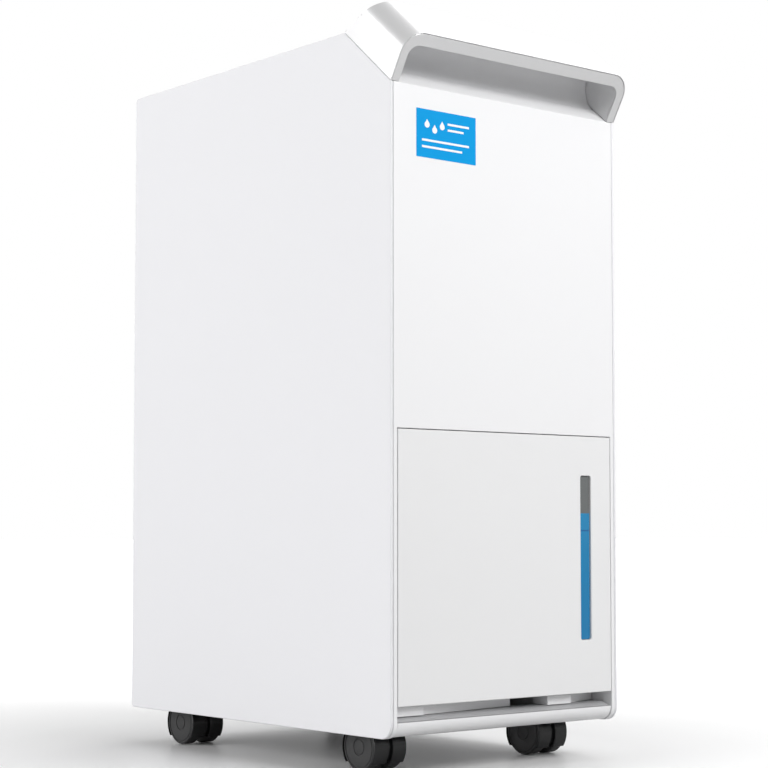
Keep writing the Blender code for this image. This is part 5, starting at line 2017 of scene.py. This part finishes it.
@dataclass
class Bay:
    """The bay that the bucket slides into, and what shows of it through the pull slot."""

    measures: Measures
    edge: float = 0.0008
    ribs: int = 9

    def build(self) -> None:
        """Builds the bay's moulding and the blocks in the pull slot."""
        low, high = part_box("bay_liner")
        shell = eased(copy_of("bay_liner"), self.edge)
        back_wall = self.measures.at(0.168)
        rib = block(
            "bay_rib",
            (low.x + 0.020, back_wall - 0.0012, low.z + 0.010),
            (low.x + 0.022, back_wall + 0.0004, high.z - 0.030),
        )
        step = (high.x - low.x - 0.042) / (self.ribs - 1)
        ribs = Arrays.grid.applied(
            rib, Finish.INNER_GREY, Columns=self.ribs, Column_Step=(
                step, 0.0, 0.0
            ), Rows=1, Row_Step=(0.0, 0.0, 0.0)
        )
        piece(together("bucket_bay", shell, ribs), "root", Finish.BAY_GREY, ["bay_liner"])
        self.slot_pieces()

    def slot_pieces(self) -> None:
        """Builds the sloping shelf, the white guide blocks and the grey walls behind the pull slot."""
        m, gap = self.measures, 0.0001
        foot, head = m.bottom + 0.0121, m.face_bottom - 0.0006
        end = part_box("bucket_front")[1].x
        near, crest, far = 0.0022, 0.0100, 0.0236
        shelf_top = foot + 0.0032
        section = ((near, foot), (crest, shelf_top), (far, shelf_top), (far, foot))
        shelf = prism("slot_shelf", section, 2 * end, upright(0, m))
        piece(eased(shelf, 0.0003), "root", Finish.SHELF)
        stand = shelf_top + gap
        for name, x0, x1 in (("left", -end, -0.080), ("right", 0.047, 0.073)):
            guide = block(f"guide_{name}", (x0, m.at(0.0072), stand), (x1, m.at(far - gap), head))
            piece(eased(guide, 0.0006), "root", Finish.FRONT_WHITE)
        place, tall = level((stand + head) / 2), head - stand - 0.0004
        for name, x0, x1, near_end, far_end in (
            ("left", -0.0797, 0.018, 0.0095, 0.0190),
            ("right", 0.0742, end, 0.0105, 0.0220),
        ):
            outline = ((x0, m.at(near_end)), (x1, m.at(far_end)), (x1, m.at(far)), (x0, m.at(far)))
            wall = prism(f"slot_wall_{name}", outline, tall, place)
            piece(eased(wall, 0.0003), "root", Finish.RECESS)


# ---- Inside the casing ---------------------------------------------------------------------------


@dataclass
class AirPath:
    """The two finned coils, the fan with its scroll, and the motor."""

    measures: Measures
    fin_pitch: float = 0.0020
    fin: float = 0.0002
    blades: int = 36
    hub_radius: float = 0.010

    def build(self) -> None:
        """Builds the coils, the scroll and the fan."""
        for name in ("evaporator_coil", "condenser_coil"):
            self.coil(name)
        scroll = eased(copy_of("fan_scroll"), 0.0005)
        piece(scroll, "root", Finish.INNER_GREY, ["fan_scroll"])
        self.wheel()
        dress(Finish.PAINTED, "fan_motor")
        dress(Finish.STEEL, "fan_shaft")

    def coil(self, name: str) -> None:
        """Builds a coil: thin fins between two end plates, and the hairpin tubes through them.

        Args:
            name: The coil's node.
        """
        low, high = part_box(name)
        half = -low.x
        count = round(2 * half / self.fin_pitch)
        pitch = 2 * half / count
        fin = block(
            f"{name}_fin", (low.x + pitch / 2 - self.fin / 2, low.y, low.z), (
                low.x + pitch / 2 + self.fin / 2, high.y, high.z
            )
        )
        fins = Arrays.grid.applied(
            fin, Finish.CAN, Columns=count, Column_Step=(pitch, 0.0, 0.0), Rows=1, Row_Step=(0.0, 0.0, 0.0)
        )
        plates = blocks(
            f"{name}_plates",
            [((x, low.y, low.z), (x + 0.0008, high.y, high.z)) for x in (low.x, half - 0.0008)],
        )
        piece(together(f"{name}_fins", fins, plates), "root", Finish.CAN, [name])
        tubes = round((high.z - low.z) / 0.0290)
        step = (high.z - low.z) / tubes
        z, y = low.z + step / 2, (low.y + high.y) / 2
        reach, across = high.x - 0.0036, low.x + 0.003
        corners = [
            (across, y, z - step / 4),
            (reach, y, z - step / 4),
            (reach, y, z + step / 4),
            (across, y, z + step / 4),
        ]
        hairpin = tube(f"{name}_hairpin", bend(corners, 0.005, 6), 0.0035)
        pipes = Arrays.grid.applied(
            hairpin, Finish.COPPER, Columns=1, Column_Step=(0.0, 0.0, 0.0), Rows=tubes, Row_Step=(
                0.0, 0.0, step
            )
        )
        piece(smoothed(pipes), "root", Finish.COPPER)

    def wheel(self) -> None:
        """Builds the squirrel-cage wheel: a plate with its hub, curved blades and a front ring."""
        low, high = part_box("fan_wheel")
        centre = Vector(((low.x + high.x) / 2, low.y, (low.z + high.z) / 2))
        radius, deep = (high.z - low.z) / 2 * 0.996, high.y - low.y
        inner, bore = 0.047, 0.0043
        plate_profile = [
            (bore, 0),
            (radius, 0),
            (radius, 0.004),
            (inner, 0.004),
            (inner, 0.002),
            (self.hub_radius + 0.002, 0.002),
        ]
        plate_profile += [(self.hub_radius, 0.004), (self.hub_radius, 0.0205), (bore, 0.0205), (bore, 0)]
        plate = turned("fan_plate", plate_profile, centre, (0, 1, 0), 96)
        ring_profile = [
            (inner, deep - 0.004),
            (radius, deep - 0.004),
            (radius, deep),
            (inner, deep),
            (inner, deep - 0.004),
        ]
        ring = turned("fan_ring", ring_profile, centre, (0, 1, 0), 96)
        steps, thick = 5, 0.0007
        reach, sweep = radius - 0.0006 - inner, math.radians(52)
        middle = [
            Vector(
                (inner + reach * i / steps, 0.0048 * math.sin(sweep * i / steps))
            ) for i in range(steps + 1)
        ]
        side = Vector((0, thick / 2))
        outline = [point + side for point in middle] + [point - side for point in reversed(middle)]
        place = Matrix(
            ((1, 0, 0, centre.x), (0, 0, -1, centre.y + deep / 2), (0, 1, 0, centre.z), (0, 0, 0, 1))
        )
        blade = prism("fan_blade", outline, deep - 0.0078, place)
        blades = Arrays.ring.applied(
            blade, Finish.INNER_GREY, Count=self.blades, Centre=tuple(centre), Axis=(0.0, 1.0, 0.0)
        )
        wheel = together("fan_cage", smoothed(plate), smoothed(ring), smoothed(blades))
        piece(wheel, "fan", Finish.INNER_GREY, ["fan_wheel"])


@dataclass
class Machinery:
    """The deck, the tray and the refrigerant circuit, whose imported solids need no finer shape."""

    edge: float = 0.0006

    def build(self) -> None:
        """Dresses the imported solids, and refines the compressor and the tray."""
        for node, finish, slot in (
            ("drip_tray", Finish.INNER_GREY, "inner_grey"),
            ("mid_deck", Finish.INNER_GREY, "inner_grey"),
            ("compressor", Finish.PAINTED, "black_steel"),
            ("run_capacitor", Finish.CAN, "fin_aluminium"),
            ("float_switch", Finish.BLACK, "caster_black"),
        ):
            piece(eased(copy_of(node), self.edge), "root", finish, [node])
        dress(Finish.COPPER, "discharge_pipe", "suction_pipe", "capillary_tube")
        dress(Finish.PAINTED, "accumulator")
        dress(Finish.BOARD, "control_board")
        dress(
            Finish.STEEL,
            *(f"caster_axle_{end}_{side}" for end in ("front", "rear") for side in ("left", "right")),
        )


# ---- The sticker ---------------------------------------------------------------------------------


@dataclass
class Sticker:
    """A plain blue label on the upper face, with drops and bars in white."""

    measures: Measures
    left: float = 0.0248
    width: float = 0.0596
    height: float = 0.0365
    below_chamfer: float = 0.0165
    corner: float = 0.0006
    thickness: float = 0.00012

    def build(self) -> None:
        """Builds the label and the shapes printed on it."""
        m = self.measures
        x0 = -m.half_width + self.left
        x1, high = x0 + self.width, m.chamfer_foot - self.below_chamfer
        low = high - self.height
        y = m.front - self.thickness / 2
        r = self.corner
        outline = round_corners(((x0, low, r), (x1, low, r), (x1, high, r), (x0, high, r)), steps=4)
        piece(prism("label", outline, self.thickness, facing(y)), "root", Finish.PRINT_BLUE)
        shapes = [
            self.drop(f"drop_{i}", x0 + 0.0105 + i * 0.0075, high - 0.0115 - (i % 2) * 0.0035)
            for i in range(3)
        ]
        rows = (
            (0.031, 0.0080, 0.0215),
            (0.031, 0.0125, 0.0160),
            (0.0055, 0.0225, 0.0470),
            (0.0055, 0.0275, 0.0400),
        )
        bars = blocks(
            "label_bars",
            [
                ((x0 + start, y - 0.0002, high - down - 0.0016), (x0 + start + long, y, high - down))
                for start, down, long in rows
            ],
        )
        piece(together("label_print", *shapes, bars), "root", Finish.PRINT_WHITE)

    def drop(self, name: str, x: float, z: float) -> bpy.types.Object:
        """A drop: a round foot that rises to a point.

        Args:
            name: The object's name.
            x: Where its middle is.
            z: The height of its round foot's centre.

        Returns:
            The drop.
        """
        r, steps = 0.0024, 20
        open_half = math.radians(35)
        arc = [
            math.radians(90) + open_half + (2 * math.pi - 2 * open_half) * i / steps
            for i in range(steps + 1)
        ]
        outline = [
            (x + r * math.cos(a), z + r * math.sin(a)) for a in arc
        ] + [(x, z + r / math.sin(open_half))]
        return prism(name, outline, 0.0002, facing(self.measures.front - self.thickness / 2 - 0.0001))


# ---- Floor, lights and camera --------------------------------------------------------------------


@dataclass
class SoftLight:
    """A square lamp with soft edges."""

    name: str
    place: Point
    aim: Point
    size: float
    power: float

    def build(self) -> None:
        """Makes the lamp and turns it towards its aim."""
        data = bpy.data.lights.new(self.name, "AREA")
        data.shape = "SQUARE"
        data.size = self.size
        data.energy = self.power
        lamp = bpy.data.objects.new(self.name, data)
        lamp.location = self.place
        lamp.rotation_euler = (Vector(self.aim) - Vector(self.place)).to_track_quat("-Z", "Y").to_euler()
        bpy.context.scene.collection.objects.link(lamp)


@dataclass
class Studio:
    """A plain pale floor that glows as painted light, soft lights and the camera."""

    floor_size: float = 60.0
    floor_level: float = -0.0002
    backdrop: float = 1.0
    ambient: float = 0.60
    shaded: float = 0.25
    flag: Point = (-0.5, 0.0, 0.87)
    painted_floor_glow: float = 0.90
    lens: float = 89.63
    eye: Point = (-1.00728, -1.22965, 0.18024)
    yaw: float = math.radians(39.648)
    pitch: float = math.radians(3.458)
    shift: float = 0.04

    def build(self) -> None:
        """Builds the floor, the lights and the camera."""
        self.floor()
        self.world()
        for lamp in (
            SoftLight("side_light", (-3.7, 1.3, 0.8), (0, 0, 0.3), 3.4, 138),
            SoftLight("front_light", (0.35, -1.55, 1.25), (0, -0.16, 0.45), 0.9, 20.5),
            SoftLight("top_light", (2.1, 0.4, 2.6), (0, 0, 0.55), 3.0, 34),
        ):
            lamp.build()
        self.camera()

    def floor(self) -> None:
        """Builds the floor, pale and a little glossy, and glowing as painted light away from the machine.
        """
        half = self.floor_size / 2
        floor = drawn(
            "floor",
            lambda work: bmesh.ops.create_grid(
                work, x_segments=1, y_segments=1, size=half, matrix=Matrix.Translation(
                    (0, 0, self.floor_level)
                )
            ),
        )
        nodes = MaterialNodes("studio floor")
        seen = nodes.node("ShaderNodeLightPath").outputs["Is Camera Ray"]
        place = nodes.node("ShaderNodeTexCoord").outputs["Object"]
        distance = nodes.node("ShaderNodeVectorMath", {0: place}, operation="LENGTH").outputs["Value"]
        # Painted light: no emission within 0.22 m of the middle, rising to full from 1.3 m away.
        reach = {"Value": distance, "From Min": 0.22, "From Max": 1.3, "To Max": self.painted_floor_glow}
        glow = nodes.node("ShaderNodeMapRange", reach).outputs["Result"]
        # To the eye the floor is pale and glows white; to other rays it is darker and glows not at all.
        base, lit = (
            nodes.mixed(seen, (away, away, away, 1), (to_the_eye, to_the_eye, to_the_eye))
            for away, to_the_eye in ((0.50, 0.86), (0.0, 1.0))
        )
        nodes.set(Base_Color=base, Emission_Color=lit, Emission_Strength=glow, Roughness=0.35)
        floor.data.materials.append(nodes.material)

    def world(self) -> None:
        """Makes the surroundings: white to the eye, and dimmer as a light."""
        world = bpy.data.worlds.new("studio")
        world.use_nodes = True
        bpy.context.scene.world = world
        nodes = NodeTree(world.node_tree)
        way = nodes.node("ShaderNodeTexCoord").outputs["Generated"]
        flag = Vector(self.flag).normalized()
        towards = nodes.node(
            "ShaderNodeVectorMath", {0: way, 1: flag}, operation="DOT_PRODUCT"
        ).outputs["Value"]
        reach = {
            "Value": towards,
            "From Min": 0.70,
            "From Max": 0.97,
            "To Min": self.ambient,
            "To Max": self.shaded,
        }
        lit = nodes.node("ShaderNodeMapRange", reach, interpolation_type="SMOOTHSTEP").outputs["Result"]
        seen = nodes.node("ShaderNodeLightPath").outputs["Is Camera Ray"]
        strength = nodes.node("ShaderNodeMapRange", {"Value": seen, "To Min": lit, "To Max": self.backdrop})
        sky = world.node_tree.nodes["Background"]
        nodes.wire(sky, {"Color": (1, 1, 1, 1), "Strength": strength.outputs["Result"]})

    def camera(self) -> None:
        """Makes the camera."""
        scene = bpy.context.scene
        scene.view_settings.view_transform = "Standard"
        data = bpy.data.cameras.new("camera")
        data.lens = self.lens
        data.shift_y = self.shift
        camera = bpy.data.objects.new("camera", data)
        camera.location = self.eye
        flat = math.cos(self.pitch)
        way = Vector((math.sin(self.yaw) * flat, math.cos(self.yaw) * flat, math.sin(self.pitch)))
        camera.rotation_euler = way.to_track_quat("-Z", "Y").to_euler()
        scene.collection.objects.link(camera)
        scene.camera = camera


def main() -> None:
    """Builds the dehumidifier around the frame, sub-assembly by sub-assembly."""
    measures = Measures.read()
    Studio().build()
    assemblies = [
        SideShells(measures),
        FrontShell(measures),
        Hood(measures),
        TopDeck(measures),
        ControlPanel(measures),
        RearShell(measures),
        Base(measures),
        *(Caster(f"{end}_{side}") for end in ("front", "rear") for side in ("left", "right")),
        Bucket(measures),
        Bay(measures),
        AirPath(measures),
        Machinery(),
        Sticker(measures),
    ]
    for assembly in assemblies:
        log.info("building %s", type(assembly).__name__)
        assembly.build()


if __name__ == "__main__":
    logging.basicConfig(level=logging.INFO, format="%(message)s")
    main()
